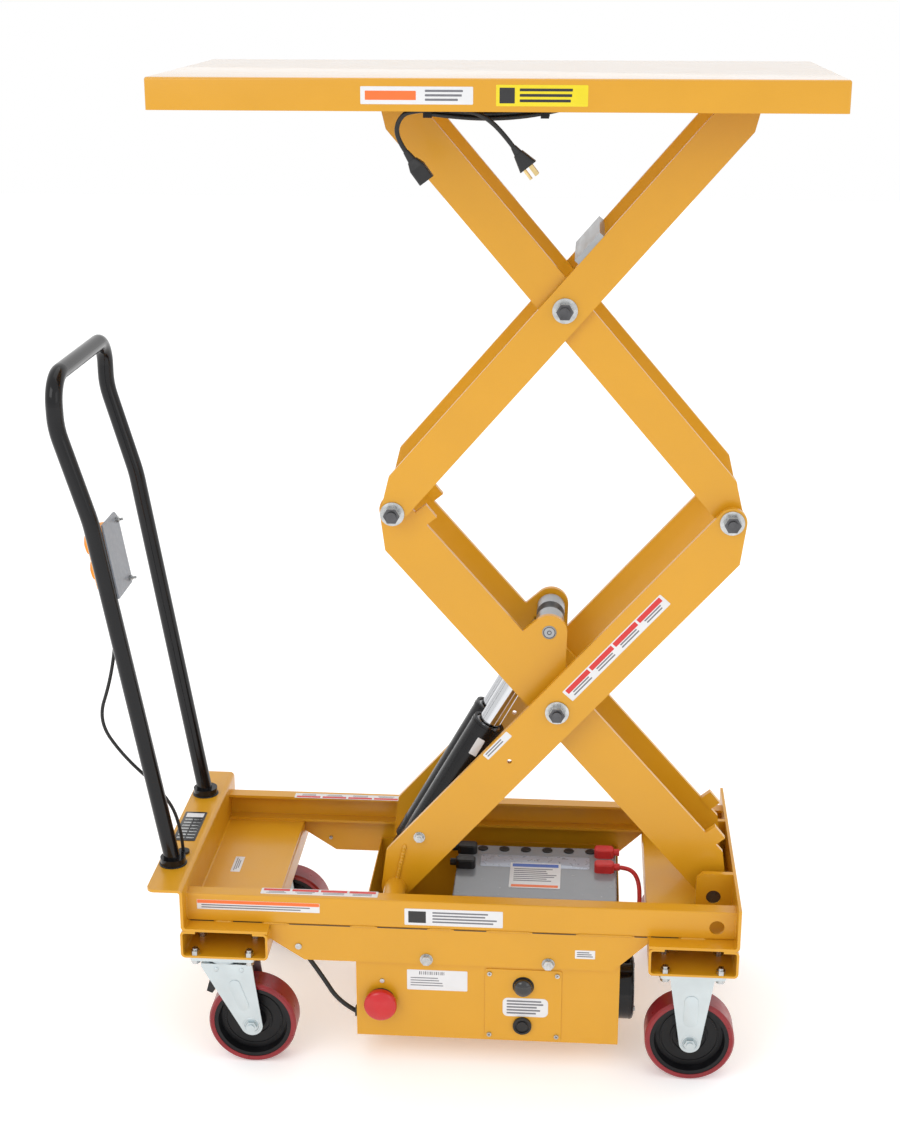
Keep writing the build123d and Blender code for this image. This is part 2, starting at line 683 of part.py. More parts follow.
# ---------------------------------------------------------------- push handle and pendant
handle_foot = (-449.0, 339.2)
handle_knee = (-552.0, 957.0)
handle_wrist = (-597.75, 1116.0)
handle_top = (-597.75, 1198.0)
foot_y, knee_y, wrist_y, top_y = 141.0, 157.0, 161.0, 163.0
handle_side = [
    (handle_foot, foot_y), (handle_knee, knee_y), (handle_wrist, wrist_y), (handle_top, top_y)
]
near_points = [(spot[0], -y, spot[1]) for spot, y in handle_side]
far_points = [(spot[0], y, spot[1]) for spot, y in reversed(handle_side)]
collar_radius, collar_height = 22.0, 13.0
with BuildPart() as push_handle:
    with BuildLine() as route:
        FilletPolyline(*near_points, *far_points, radius=[260, 150, 45, 45, 150, 260])
    foot_plane = Plane(origin=route.line @ 0, z_dir=route.line % 0)
    with BuildSketch(foot_plane):
        Circle(handle_radius)
    sweep(path=route.line)
    with BuildSketch(Plane.XY.offset(handle_plate_top)):
        with Locations((handle_foot[0], -foot_y), (handle_foot[0], foot_y)):
            Circle(collar_radius)
    extrude(amount=collar_height)
    with BuildSketch(foot_plane):
        Circle(handle_radius - handle_wall)
    sweep(path=route.line, mode=Mode.SUBTRACT)
save(push_handle, "push_handle")

pendant_lean = atan2(handle_foot[0] - handle_knee[0], handle_knee[1] - handle_foot[1])
out_dir = (-cos(pendant_lean), 0, -sin(pendant_lean))
pendant_height, pendant_y = 886.0, -104.0
tube_at_pendant = handle_foot[0] - (pendant_height - handle_foot[1]) * tan(pendant_lean)
pendant_origin = Vector(tube_at_pendant + handle_radius / cos(pendant_lean), pendant_y, pendant_height)


def pendant_plane(out=0.0):
    """A plane parallel to the pendant's back plate, facing the operator."""
    return Plane(
        origin=pendant_origin + Vector(*out_dir) * out, x_dir=(0, -1, 0), z_dir=out_dir
    )


pendant_wide, pendant_tall, pendant_deep = 60.0, 108.0, 38.0
button_rows = (25.0, -20.0)
button_radius, button_travel = 10.0, 4.0
bracket_outline = [(48, -62), (-38, -62), (-44, -56), (-44, 54), (-30, 66), (48, 66)]
with BuildPart() as pendant_bracket:
    with BuildSketch(pendant_plane(-3)):
        with BuildLine():
            Polyline(*bracket_outline, close=True)
        make_face()
    extrude(amount=3)
save(pendant_bracket, "pendant_bracket")

with BuildPart() as pendant_housing:
    with BuildSketch(pendant_plane(0.05)):
        RectangleRounded(pendant_wide, pendant_tall, 12)
    extrude(amount=pendant_deep)
    fillet(pendant_housing.faces().sort_by(Axis(pendant_origin, out_dir))[-1].edges(), 5)
    with BuildSketch(pendant_plane(pendant_deep)):
        for row in button_rows:
            with Locations((0, row)):
                Circle(button_radius + 7)
    extrude(amount=7)
    with BuildSketch(pendant_plane(pendant_deep - 8)):
        for row in button_rows:
            with Locations((0, row)):
                Circle(button_radius + 0.5)
    extrude(amount=20, mode=Mode.SUBTRACT)
save(pendant_housing, "pendant_housing")

for name, row in (("up_button", button_rows[0]), ("down_button", button_rows[1])):
    with BuildPart() as push_button:
        with BuildSketch(pendant_plane(pendant_deep - 8 + button_travel + 0.5)):
            with Locations((0, row)):
                Circle(button_radius)
        extrude(amount=13.5)
        fillet(push_button.faces().sort_by(Axis(pendant_origin, out_dir))[-1].edges(), 1.5)
    save(push_button, name)

# ---------------------------------------------------------------- cables
lead_radius, pendant_cable_radius, box_cable_radius = 4.0, 3.0, 4.0
charger_cord_radius, pipe_radius = 3.5, 5.0


def cord_radii(points):
    """The radius of each corner: 0.45 of its shorter run over the tangent of half its turn."""
    radii = []
    for before, corner, after in zip(points, points[1:], points[2:]):
        into = Vector(*corner) - Vector(*before)
        out = Vector(*after) - Vector(*corner)
        half_turn = radians(into.get_angle(out)) / 2
        radii.append(0.45 * min(into.length, out.length) / tan(half_turn))
    return radii


def cord(name, points, radius):
    """A round cord along straight runs joined by tangent arcs."""
    radii = cord_radii(points)
    with BuildPart() as line:
        with BuildLine() as path:
            FilletPolyline(*points, radius=radii)
        with BuildSketch(Plane(origin=path.line @ 0, z_dir=path.line % 0)):
            Circle(radius)
        sweep(path=path.line)
    save(line, name)
    length = sum(edge.length for edge in path.line.edges())
    print(name, "radii", [round(value, 1) for value in radii], "length", round(length))
    return line


gland_tip = tuple(pendant_origin + Vector(*out_dir) * 20 + Vector(9, 0, -80))
pendant_cable = cord(
    "pendant_cable",
    [
        gland_tip, (-534, -108, 745), (-547, -116, 664), (-572, -120, 592), (-531, -120, 526),
        (-469, -117, 464), (-441, -106, 401), (*grommet_spot, 337),
    ],
    pendant_cable_radius,
)
box_cable = cord(
    "box_cable",
    [
        (-267.4, -188, 242), (-232, -190, 228), (-208, -191, 190), (-184, -190, 152),
        (-157, -189, 104), (-126.6, -188, 86),
    ],
    box_cable_radius,
)
battery_leads = cord(
    "battery_leads",
    [
        (positive_x + 12, boot_rows[1], spout_z), (340, 51, spout_z), (357, 48, 249),
        (365, 40, 231), (366, 16, 212), (363, -28, 205), (356, -80, 204),
        (terminal[0], terminal[1] + 5, motor_spot[1] + motor_radius + 17.5),
    ],
    lead_radius,
)
with BuildPart() as terminal_covers:
    terminal_boots(positive_x, 1)
    terminal_boots(negative_x, -1)
    fillet(terminal_covers.faces().group_by(Axis.Z)[-1].edges(), 4)
    add(battery_leads.part, mode=Mode.SUBTRACT)
save(terminal_covers, "terminal_boots")

cord_y, tie_y = -242.0, -237.6
connector_start, plug_start = (-24, cord_y - 1, 1561.5), (133, cord_y, 1569)
connector_tail = cord(
    "connector_tail",
    [
        (44, tie_y, 1621), (-17, cord_y, 1621), (-35, cord_y, 1606),
        (-38, cord_y - 1, 1582), connector_start,
    ],
    charger_cord_radius,
)
plug_tail = cord(
    "plug_tail",
    [(52, tie_y, 1619), (84, cord_y, 1616), (112, cord_y, 1596), plug_start],
    charger_cord_radius,
)

hank_deep, hank_high, hank_y = 53.0, 24.0, -207.5
hank_ends, hank_middle = ((-60.75, 1643.0), (245.25, 1643.0)), (92.25, 1613.0)
with BuildPart() as charger_hank:
    with BuildLine() as hank_line:
        ThreePointArc(
            (hank_ends[0][0], hank_y, hank_ends[0][1]), (hank_middle[0], hank_y, hank_middle[1]),
            (hank_ends[1][0], hank_y, hank_ends[1][1]),
        )
    with BuildSketch(Plane(origin=hank_line.line @ 0, x_dir=(0, 1, 0), z_dir=hank_line.line % 0)):
        RectangleRounded(hank_deep, hank_high, 10)
    sweep(path=hank_line.line)
save(charger_hank, "charger_hank")

strap_width, strap_thick = 12.0, 1.6
with BuildPart() as cord_straps:
    for x, low in ((7, 1610.2), (178, 1610.2)):
        with BuildSketch(end_plane(x - strap_width / 2)):
            with Locations((hank_y, (deck_under + low - strap_thick) / 2)):
                Rectangle(hank_deep + 1 + 2 * strap_thick, deck_under - low + strap_thick)
            with Locations((hank_y, (deck_under + low) / 2)):
                Rectangle(hank_deep + 1, deck_under - low, mode=Mode.SUBTRACT)
        extrude(amount=strap_width)
    add(charger_hank.part, mode=Mode.SUBTRACT)
save(cord_straps, "cord_straps")

connector_dir, plug_dir = (0.594, 0, -0.804), (0.614, 0, -0.789)


def plug_section(start, direction, along, size, corner):
    """A rounded section of a moulded plug, square to its axis."""
    origin = Vector(*start) + Vector(*direction) * along
    with BuildSketch(Plane(origin=origin, x_dir=(0, 1, 0), z_dir=direction)) as section:
        RectangleRounded(*size, corner)
    return section.sketch


with BuildPart() as charger_plugs:
    relief = (8.5, 8.5)
    loft([
        plug_section(connector_start, connector_dir, 0, relief, 4.2),
        plug_section(connector_start, connector_dir, 16, (13, 13), 4.5),
    ])
    loft([
        plug_section(connector_start, connector_dir, 16, (15, 15), 4.5),
        plug_section(connector_start, connector_dir, 28, (20, 24), 4.5),
    ])
    extrude(plug_section(connector_start, connector_dir, 28, (20, 24), 4.5), amount=24)
    extrude(
        plug_section(connector_start, connector_dir, 42, (15, 19), 3), amount=14,
        mode=Mode.SUBTRACT,
    )
    loft([
        plug_section(plug_start, plug_dir, 0, relief, 4.2),
        plug_section(plug_start, plug_dir, 12, (13, 13), 4.5),
    ])
    loft([
        plug_section(plug_start, plug_dir, 12, (20, 15), 5),
        plug_section(plug_start, plug_dir, 36, (24, 28), 5),
    ])
    blade_base = Vector(*plug_start) + Vector(*plug_dir) * 35
    with BuildSketch(Plane(origin=blade_base, x_dir=(0, 1, 0), z_dir=plug_dir)):
        with Locations((-6.35, 4), (6.35, 4)):
            Rectangle(1.6, 6.4)
        with Locations((0, -7)):
            Circle(2.4)
    extrude(amount=18)
    for tail in (connector_tail, plug_tail):
        add(tail.part, mode=Mode.SUBTRACT)
save(charger_plugs, "charger_plugs")

# Oil pipe between the two cylinders, from the base end up to the port block.
pipe_side, pipe_start, pipe_end = -19.0, 64.0, 262.0


def beside_cylinder(along, beside, y=0.0):
    """A point beside the cylinders' middle line."""
    return (
        base_rolling[0] + along * cylinder_dir[0] - beside * cylinder_dir[2], y,
        base_rolling[1] + along * cylinder_dir[2] + beside * cylinder_dir[0],
    )


pipe_plane = Plane(
    origin=beside_cylinder(pipe_start, pipe_side), x_dir=(0, 1, 0), z_dir=cylinder_dir
)
with BuildPart() as hydraulic_pipe:
    with BuildSketch(pipe_plane):
        Circle(pipe_radius)
    extrude(amount=pipe_end - pipe_start)
    for along in (0, pipe_end - pipe_start - 14):
        with BuildSketch(pipe_plane.offset(along)):
            RegularPolygon(8.5, 6)
        extrude(amount=14)
    for along in (-16, pipe_end - pipe_start):
        with BuildSketch(pipe_plane.offset(along)):
            with Locations((0, 6)):
                Rectangle(16, 20)
        extrude(amount=16)
    add(cylinder_barrels.part, mode=Mode.SUBTRACT)
save(hydraulic_pipe, "hydraulic_pipe")

# ---------------------------------------------------------------- small fittings
with BuildPart() as small_fittings:
    # Charging socket on the access panel.
    bar_across(socket_spot, 16, panel_face - 5, panel_face - 0.02)
    with BuildSketch(side_plane(panel_face - 5)):
        with Locations(socket_spot):
            Circle(12.5)
            Circle(9, mode=Mode.SUBTRACT)
    extrude(amount=-2, mode=Mode.SUBTRACT)
    # Contact block behind the emergency stop.
    with BuildSketch(side_plane(-box_half_width + box_sheet)):
        with Locations(estop_spot):
            Rectangle(34, 44)
            Circle(estop_stem + fit, mode=Mode.SUBTRACT)
    extrude(amount=-32)
    # Strain relief under the pendant.
    relief_top = pendant_origin + Vector(*out_dir) * 20 + Vector(9, 0, -52)
    with BuildSketch(Plane.XY.offset(relief_top.Z)):
        with Locations((relief_top.X, relief_top.Y)):
            Circle(8)
    with BuildSketch(Plane.XY.offset(gland_tip[2])):
        with Locations(gland_tip[:2]):
            Circle(4.5)
    loft()
    add(pendant_housing.part, mode=Mode.SUBTRACT)
    # Grommet in the handle end plate.
    with BuildSketch(Plane.XY.offset(handle_plate_top - sheet)):
        with Locations(grommet_spot):
            Circle(8 - 0.02)
    extrude(amount=sheet + 0.5)
    with BuildSketch(Plane.XY.offset(handle_plate_top + 0.02)):
        with Locations(grommet_spot):
            Circle(11)
    extrude(amount=4)
    # Grommets of the cable under the base.
    for x, reach, radius, at in ((-270.0, 4, 9, (-188, 243)), (box_left - 4, 3.98, 10, (-188, 87))):
        with BuildSketch(end_plane(x)):
            with Locations(at):
                Circle(radius)
        extrude(amount=reach)
    for strand in (pendant_cable, box_cable):
        add(strand.part, mode=Mode.SUBTRACT)
save(small_fittings, "small_fittings")

with BuildPart() as base_fasteners:
    with BuildSketch(side_plane(panel_face)):
        with Locations(*panel_screw_spots):
            Circle(4)
    extrude(amount=2.6)
    with BuildSketch(side_plane(-box_half_width - 0.02)):
        with Locations((estop_spot[0] + 2, estop_spot[1] + 40)):
            Circle(4)
    extrude(amount=2.6)
    for side in (-1, 1):
        face = box_half_width + 0.05 + skirt_sheet
        for spot in box_bolts:
            for near, far, radius in ((-9, 8, 5.0), (0.02, 1.8, 11.0)):
                low, high = sorted((side * (face + near), side * (face + far)))
                bar_across(spot, radius, low, high)
            with BuildSketch(side_plane(side * (face + 1.8))):
                with Locations(spot):
                    RegularPolygon(8, 6, major_radius=False)
            extrude(amount=-side * 6)
        for near, far, radius in ((-8, 2, 3.4), (0.02, 2.4, 5.5)):
            low, high = sorted((side * (face + near), side * (face + far)))
            bar_across(clip_spot, radius, low, high)
    for row in (pendant_tall / 2 - 2, -pendant_tall / 2 + 2):
        for out, radius, thick in ((-3.05, 5, 5), (-8, 2.4, 7)):
            with BuildSketch(pendant_plane(out)):
                with Locations((-30, row)):
                    RegularPolygon(radius, 6)
            extrude(amount=-thick)
    for spot in caster_bolt_spots:
        with BuildSketch(Plane.XY.offset(beam_bottom + beam_wall + 12)):
            with Locations(spot):
                Circle(bolt_radius)
        extrude(amount=-(12 + beam_wall + 6 + 6))
        for top, thick in ((beam_bottom + beam_wall + 8.02, 8), (beam_bottom - 6.02, 6)):
            with BuildSketch(Plane.XY.offset(top)):
                with Locations(spot):
                    RegularPolygon(8, 6)
            extrude(amount=-thick)
save(base_fasteners, "base_fasteners")

# ---------------------------------------------------------------- casters
with BuildPart() as swivel_caster_plates:
    for side in (-1, 1):
        with BuildSketch(Plane.XY.offset(beam_bottom - 0.02)):
            with Locations((swivel_x, side * caster_y)):
                RectangleRounded(112, 78, 8)
        extrude(amount=-6)
        with BuildSketch(Plane.XY.offset(beam_bottom - 6)):
            with Locations((swivel_x, side * caster_y)):
                Circle(31)
        extrude(amount=-8)
    with BuildSketch(Plane.XY.offset(beam_bottom)):
        with Locations(*[spot for spot in caster_bolt_spots if spot[0] < 0]):
            Circle(bolt_radius + fit)
    extrude(amount=-7, mode=Mode.SUBTRACT)
save(swivel_caster_plates, "swivel_caster_plates")

leg_gap, leg_sheet, axle_radius = 28.0, 4.0, 6.0
crown_top = beam_bottom - 14.4


def fork_legs(centre_y, axle_x, top_z, top_left, top_right, boss):
    """Add the two tapering legs of a fork, and the axle with its nuts."""
    axle_spot = (axle_x, wheel_radius)
    for offset in (-leg_gap - leg_sheet, leg_gap):
        with BuildSketch(side_plane(centre_y + offset + leg_sheet)) as leg:
            with Locations(axle_spot):
                Circle(boss)
            with Locations((top_left + 3, top_z - 3), (top_right - 3, top_z - 3)):
                Rectangle(6, 6)
            make_hull()
        extrude(leg.sketch, amount=leg_sheet)
    reach = leg_gap + leg_sheet
    bar_across(axle_spot, axle_radius, centre_y - reach - 9, centre_y + reach + 9)
    for low in (centre_y - reach - 6.5, centre_y + reach):
        with BuildSketch(side_plane(low + 6.5)) as nut:
            with Locations(axle_spot):
                RegularPolygon(9, 6, major_radius=False)
        extrude(nut.sketch, amount=6.5)


for side_name, side in (("near", -1), ("far", 1)):
    axle_x, centre_y = swivel_x + caster_trail, side * caster_y
    with BuildPart() as swivel_fork:
        fork_legs(centre_y, axle_x, crown_top, swivel_x - 38, swivel_x + 50, 19)
        with BuildSketch(Plane.XY.offset(crown_top)):
            with Locations((swivel_x + 6, centre_y)):
                Rectangle(88, 2 * (leg_gap + leg_sheet))
        extrude(amount=-5)
        with BuildSketch(Plane.XY.offset(crown_top)):
            with Locations((swivel_x, centre_y)):
                Circle(30)
        extrude(amount=-9)
    save(swivel_fork, f"swivel_fork_{side_name}")

    brake_pivot = (swivel_x - 16, 173.0)
    with BuildPart() as brake_pedal:
        with BuildSketch(side_plane(centre_y + 15)):
            with BuildLine():
                Polyline(
                    (brake_pivot[0] + 6, 178), (brake_pivot[0] - 4, 180), (-381, 142),
                    (-384, 131), (-374, 127), (-368, 136), (brake_pivot[0] + 7, 166), close=True,
                )
            make_face()
        extrude(amount=30)
        bar_across(brake_pivot, 4, centre_y - leg_gap + 0.3, centre_y + leg_gap - 0.3)
    save(brake_pedal, f"brake_pedal_{side_name}")

with BuildPart() as rigid_caster_forks:
    for side in (-1, 1):
        centre_y = side * caster_y
        with BuildSketch(Plane.XY.offset(beam_bottom - 0.02)):
            with Locations((right_beam_x, centre_y)):
                RectangleRounded(112, 78, 8)
        extrude(amount=-6)
        fork_legs(
            centre_y, right_beam_x, beam_bottom - 5, right_beam_x - 37, right_beam_x + 37, 18
        )
    with BuildSketch(Plane.XY.offset(beam_bottom)):
        with Locations(*[spot for spot in caster_bolt_spots if spot[0] > 0]):
            Circle(bolt_radius + fit)
    extrude(amount=-7, mode=Mode.SUBTRACT)
save(rigid_caster_forks, "rigid_caster_forks")

tread_thick, hub_width = 9.0, 54.0
for axle_name, axle_x in (("swivel", swivel_x + caster_trail), ("rigid", right_beam_x)):
    for side_name, side in (("near", -1), ("far", 1)):
        centre_y = side * caster_y
        axis = Axis((axle_x, centre_y, wheel_radius), (0, 1, 0))
        wheel_plane = Plane(origin=(axle_x, centre_y, wheel_radius))
        core_radius, half = wheel_radius - tread_thick, wheel_width / 2
        with BuildPart() as wheel_core:
            with BuildSketch(wheel_plane):
                with BuildLine():
                    Polyline(
                        (axle_radius + fit, -hub_width / 2), (19, -hub_width / 2), (22, -8),
                        (core_radius - 10, -8), (core_radius - 7, -half + 3), (core_radius, -half + 3),
                        (core_radius, half - 3), (core_radius - 7, half - 3), (core_radius - 10, 8),
                        (22, 8), (19, hub_width / 2), (axle_radius + fit, hub_width / 2), close=True,
                    )
                make_face()
            revolve(axis=axis)
        save(wheel_core, f"{axle_name}_wheel_core_{side_name}")

        with BuildPart() as wheel_tread:
            with BuildSketch(wheel_plane):
                with BuildLine():
                    Polyline(
                        (core_radius + 0.02, -half + 2), (wheel_radius - 3, -half),
                        (wheel_radius, -half + 4), (wheel_radius, half - 4),
                        (wheel_radius - 3, half), (core_radius + 0.02, half - 2), close=True,
                    )
                make_face()
            revolve(axis=axis)
        save(wheel_tread, f"{axle_name}_wheel_tread_{side_name}")
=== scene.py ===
import math
import random

import bmesh
import bpy
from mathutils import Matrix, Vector


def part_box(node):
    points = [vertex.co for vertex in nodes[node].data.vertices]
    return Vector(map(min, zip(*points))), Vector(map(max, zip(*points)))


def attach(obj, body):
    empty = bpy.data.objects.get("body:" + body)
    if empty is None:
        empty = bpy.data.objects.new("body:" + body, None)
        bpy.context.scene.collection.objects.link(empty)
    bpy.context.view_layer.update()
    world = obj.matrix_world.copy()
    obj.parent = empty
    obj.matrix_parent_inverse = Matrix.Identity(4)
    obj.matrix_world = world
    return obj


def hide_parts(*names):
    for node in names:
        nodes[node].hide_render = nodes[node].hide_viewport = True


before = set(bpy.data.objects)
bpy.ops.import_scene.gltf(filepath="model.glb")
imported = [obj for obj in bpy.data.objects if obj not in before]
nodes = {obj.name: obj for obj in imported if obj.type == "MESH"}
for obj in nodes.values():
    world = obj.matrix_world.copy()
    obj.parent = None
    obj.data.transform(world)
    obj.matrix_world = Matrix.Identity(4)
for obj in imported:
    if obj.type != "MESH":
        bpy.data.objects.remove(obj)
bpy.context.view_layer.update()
random.seed(11)
MM = 0.001  # a millimetre in metres

# ---------------------------------------------------------------- camera
cam_data = bpy.data.cameras.new("camera")
cam_data.lens = 58.06
cam_data.sensor_width = 36.0
cam_data.clip_end = 60
camera = bpy.data.objects.new("camera", cam_data)
camera.location = (0.2422, -2.9572, 1.8253)
camera.rotation_euler = (math.pi / 2 - 0.320, 0, 0.074)
bpy.context.scene.collection.objects.link(camera)
bpy.context.scene.camera = camera


# ---------------------------------------------------------------- materials
def new_material(name):
    mat = bpy.data.materials.new(name)
    mat.use_nodes = True
    tree = mat.node_tree
    return mat, tree, tree.nodes["Principled BSDF"]


def noise(tree, scale, detail=3.0, rough=0.5, stretch=None):
    coord = tree.nodes.new("ShaderNodeTexCoord")
    out = coord.outputs["Object"]
    if stretch:
        mapping = tree.nodes.new("ShaderNodeMapping")
        mapping.inputs["Scale"].default_value = stretch
        tree.links.new(out, mapping.inputs["Vector"])
        out = mapping.outputs["Vector"]
    tex = tree.nodes.new("ShaderNodeTexNoise")
    tex.inputs["Scale"].default_value = scale
    tex.inputs["Detail"].default_value = detail
    tex.inputs["Roughness"].default_value = rough
    tree.links.new(out, tex.inputs["Vector"])
    return tex.outputs["Fac"]


def ramp(tree, fac, stops):
    node = tree.nodes.new("ShaderNodeValToRGB")
    tree.links.new(fac, node.inputs["Fac"])
    while len(node.color_ramp.elements) < len(stops):
        node.color_ramp.elements.new(0.5)
    for element, (pos, colour) in zip(node.color_ramp.elements, stops):
        element.position = pos
        element.color = (*colour, 1.0)
    return node.outputs["Color"]


def shade(colour, factor):
    return tuple(min(1.0, channel * factor) for channel in colour)


def finish(
    name, colour, rough=0.35, metal=0.0, coat=0.0, vary=0.08, vary_scale=9.0, rough_vary=0.08,
    bump=0.0, bump_scale=900.0, bump_detail=2.0, stretch=None, gloss=0.5,
):
    """A principled material with drifting colour and roughness and a fine surface."""
    mat, tree, bsdf = new_material(name)
    base = noise(tree, vary_scale, 5.0, 0.6, stretch)
    dark, light = shade(colour, 1 - vary), shade(colour, 1 + vary)
    tree.links.new(ramp(tree, base, [(0.3, dark), (0.7, light)]), bsdf.inputs["Base Color"])
    if rough_vary:
        speck = noise(tree, vary_scale * 4, 4.0, 0.6, stretch)
        low, high = max(0.02, rough - rough_vary), min(1.0, rough + rough_vary)
        tree.links.new(
            ramp(tree, speck, [(0.3, (low,) * 3), (0.7, (high,) * 3)]), bsdf.inputs["Roughness"]
        )
    else:
        bsdf.inputs["Roughness"].default_value = rough
    bsdf.inputs["Metallic"].default_value = metal
    bsdf.inputs["Specular IOR Level"].default_value = gloss
    bsdf.inputs["Coat Weight"].default_value = coat
    bsdf.inputs["Coat Roughness"].default_value = 0.12
    if bump:
        fine = noise(tree, bump_scale, bump_detail, 0.5, stretch)
        node = tree.nodes.new("ShaderNodeBump")
        node.inputs["Strength"].default_value = bump
        node.inputs["Distance"].default_value = 0.0006
        tree.links.new(fine, node.inputs["Height"])
        tree.links.new(node.outputs["Normal"], bsdf.inputs["Normal"])
    return mat


def printed(name, colour, vary):
    """The slightly glossy surface of a printed label."""
    return finish(name, colour, rough=0.4, coat=0.2, vary=vary, vary_scale=60.0, rough_vary=0.05)


YELLOW = (0.635, 0.305, 0.008)
M = {
    "paint": finish(
        "yellow_powder_coat", YELLOW, rough=0.34, coat=0.2, vary=0.035, vary_scale=5.0,
        rough_vary=0.05, bump=0.16, bump_scale=1400.0,
    ),
    "deck_top": finish(
        "yellow_deck_top", shade(YELLOW, 0.95), rough=0.16, coat=1.0, vary=0.03, vary_scale=4.0,
        rough_vary=0.05, bump=0.1, bump_scale=500.0,
    ),
    "black_paint": finish(
        "black_gloss_paint", (0.005, 0.005, 0.006), rough=0.14, coat=0.08, vary=0.2,
        vary_scale=12.0, rough_vary=0.05, bump=0.04, bump_scale=1200.0, gloss=0.28,
    ),
    "barrel": finish(
        "black_cylinder_paint", (0.006, 0.006, 0.007), rough=0.26, coat=0.05, vary=0.2,
        vary_scale=14.0, bump=0.08, bump_scale=1000.0, gloss=0.28,
    ),
    "zinc": finish(
        "zinc_plate", (0.56, 0.62, 0.64), rough=0.34, metal=1.0, vary=0.06, vary_scale=22.0,
        rough_vary=0.06, bump=0.08, bump_scale=500.0, bump_detail=3.0,
    ),
    "zinc_nut": finish(
        "zinc_nut", (0.50, 0.51, 0.51), rough=0.28, metal=1.0, vary=0.25, vary_scale=90.0,
        rough_vary=0.12, bump=0.06,
    ),
    "steel": finish(
        "bare_steel", (0.38, 0.39, 0.40), rough=0.36, metal=1.0, vary=0.14, vary_scale=20.0,
        rough_vary=0.1, bump=0.12, bump_scale=700.0, bump_detail=3.0, stretch=(1.0, 0.08, 1.0),
    ),
    "dark_steel": finish(
        "oiled_steel", (0.10, 0.10, 0.105), rough=0.36, metal=0.9, vary=0.25, vary_scale=60.0,
        rough_vary=0.12, bump=0.1, bump_scale=700.0,
    ),
    "chrome": finish(
        "chrome_rod", (0.62, 0.63, 0.65), rough=0.09, metal=1.0, vary=0.02, vary_scale=20.0,
        rough_vary=0.03,
    ),
    "tread": finish(
        "red_polyurethane", (0.24, 0.007, 0.012), rough=0.36, coat=0.08, vary=0.2, vary_scale=26.0,
        rough_vary=0.1, bump=0.1, bump_scale=300.0, bump_detail=3.0,
    ),
    "core": finish(
        "black_wheel_core", (0.005, 0.005, 0.006), rough=0.4, vary=0.3, vary_scale=30.0,
        rough_vary=0.1, bump=0.2, bump_scale=700.0, bump_detail=3.0, gloss=0.3,
    ),
    "black_plastic": finish(
        "black_moulded_plastic", (0.006, 0.006, 0.007), rough=0.42, vary=0.25, vary_scale=40.0,
        rough_vary=0.1, bump=0.3, bump_scale=1500.0,
    ),
    "dome": finish(
        "black_gloss_plastic", (0.010, 0.010, 0.011), rough=0.14, coat=0.6, vary=0.2,
        vary_scale=30.0, rough_vary=0.04,
    ),
    "red_plastic": finish(
        "red_gloss_plastic", (0.52, 0.005, 0.010), rough=0.22, coat=0.25, vary=0.06,
        vary_scale=20.0, rough_vary=0.05, bump=0.04,
    ),
    "pendant": finish(
        "orange_moulded_plastic", (0.86, 0.33, 0.015), rough=0.42, coat=0.05, vary=0.06,
        vary_scale=30.0, bump=0.3, bump_scale=1600.0,
    ),
    "rubber": finish(
        "black_cable_rubber", (0.006, 0.006, 0.006), rough=0.5, vary=0.25, vary_scale=60.0,
        rough_vary=0.1, bump=0.18, bump_scale=1300.0,
    ),
    "red_rubber": finish(
        "red_cable_rubber", (0.55, 0.02, 0.02), rough=0.46, vary=0.12, vary_scale=60.0,
        rough_vary=0.1, bump=0.15, bump_scale=1300.0,
    ),
    "grey": finish(
        "grey_painted_sheet", (0.19, 0.205, 0.235), rough=0.42, coat=0.2, vary=0.06,
        vary_scale=30.0, bump=0.15, bump_scale=1300.0,
    ),
    "battery_top": finish(
        "grey_battery_lid", (0.22, 0.235, 0.255), rough=0.22, coat=0.5, vary=0.05, vary_scale=14.0,
        rough_vary=0.06, bump=0.05,
    ),
    "silver": finish(
        "silver_band", (0.42, 0.46, 0.54), rough=0.3, metal=0.3, coat=0.2, vary=0.04,
        vary_scale=20.0, rough_vary=0.06,
    ),
    "tank": finish(
        "white_tank_plastic", (0.62, 0.62, 0.58), rough=0.5, vary=0.05, vary_scale=20.0, bump=0.2,
    ),
    "brass": finish(
        "brass_blade", (0.72, 0.55, 0.26), rough=0.25, metal=1.0, vary=0.1, vary_scale=60.0,
    ),
    "white": printed("label_white", (0.70, 0.70, 0.71), 0.02),
    "orange": printed("label_orange", (0.82, 0.15, 0.02), 0.03),
    "label_red": printed("label_red", (0.6, 0.02, 0.02), 0.03),
    "label_yellow": printed("label_yellow", (0.74, 0.60, 0.0), 0.03),
    "label_black": printed("label_black", (0.012, 0.012, 0.013), 0.1),
    "label_blue": printed("label_blue", (0.05, 0.12, 0.42), 0.05),
    "ink": finish(
        "label_ink", (0.16, 0.16, 0.18), rough=0.45, vary=0.1, vary_scale=200.0, rough_vary=0.05,
    ),
    "webbing": finish(
        "black_webbing", (0.006, 0.006, 0.007), rough=0.75, vary=0.3, vary_scale=400.0,
        rough_vary=0.1, bump=0.8, bump_scale=2200.0, bump_detail=1.0,
    ),
    "weld": finish(
        "painted_weld", shade(YELLOW, 0.94), rough=0.36, coat=0.3, vary=0.06, vary_scale=60.0,
        rough_vary=0.06, bump=0.5, bump_scale=260.0, bump_detail=3.0,
    ),
}


def dress(node, *mats):
    """Give a CAD node its materials, the first one everywhere."""
    obj = nodes[node]
    obj.data.materials.clear()
    for mat in mats:
        obj.data.materials.append(M[mat])
    for poly in obj.data.polygons:
        poly.material_index = 0
        poly.use_smooth = False


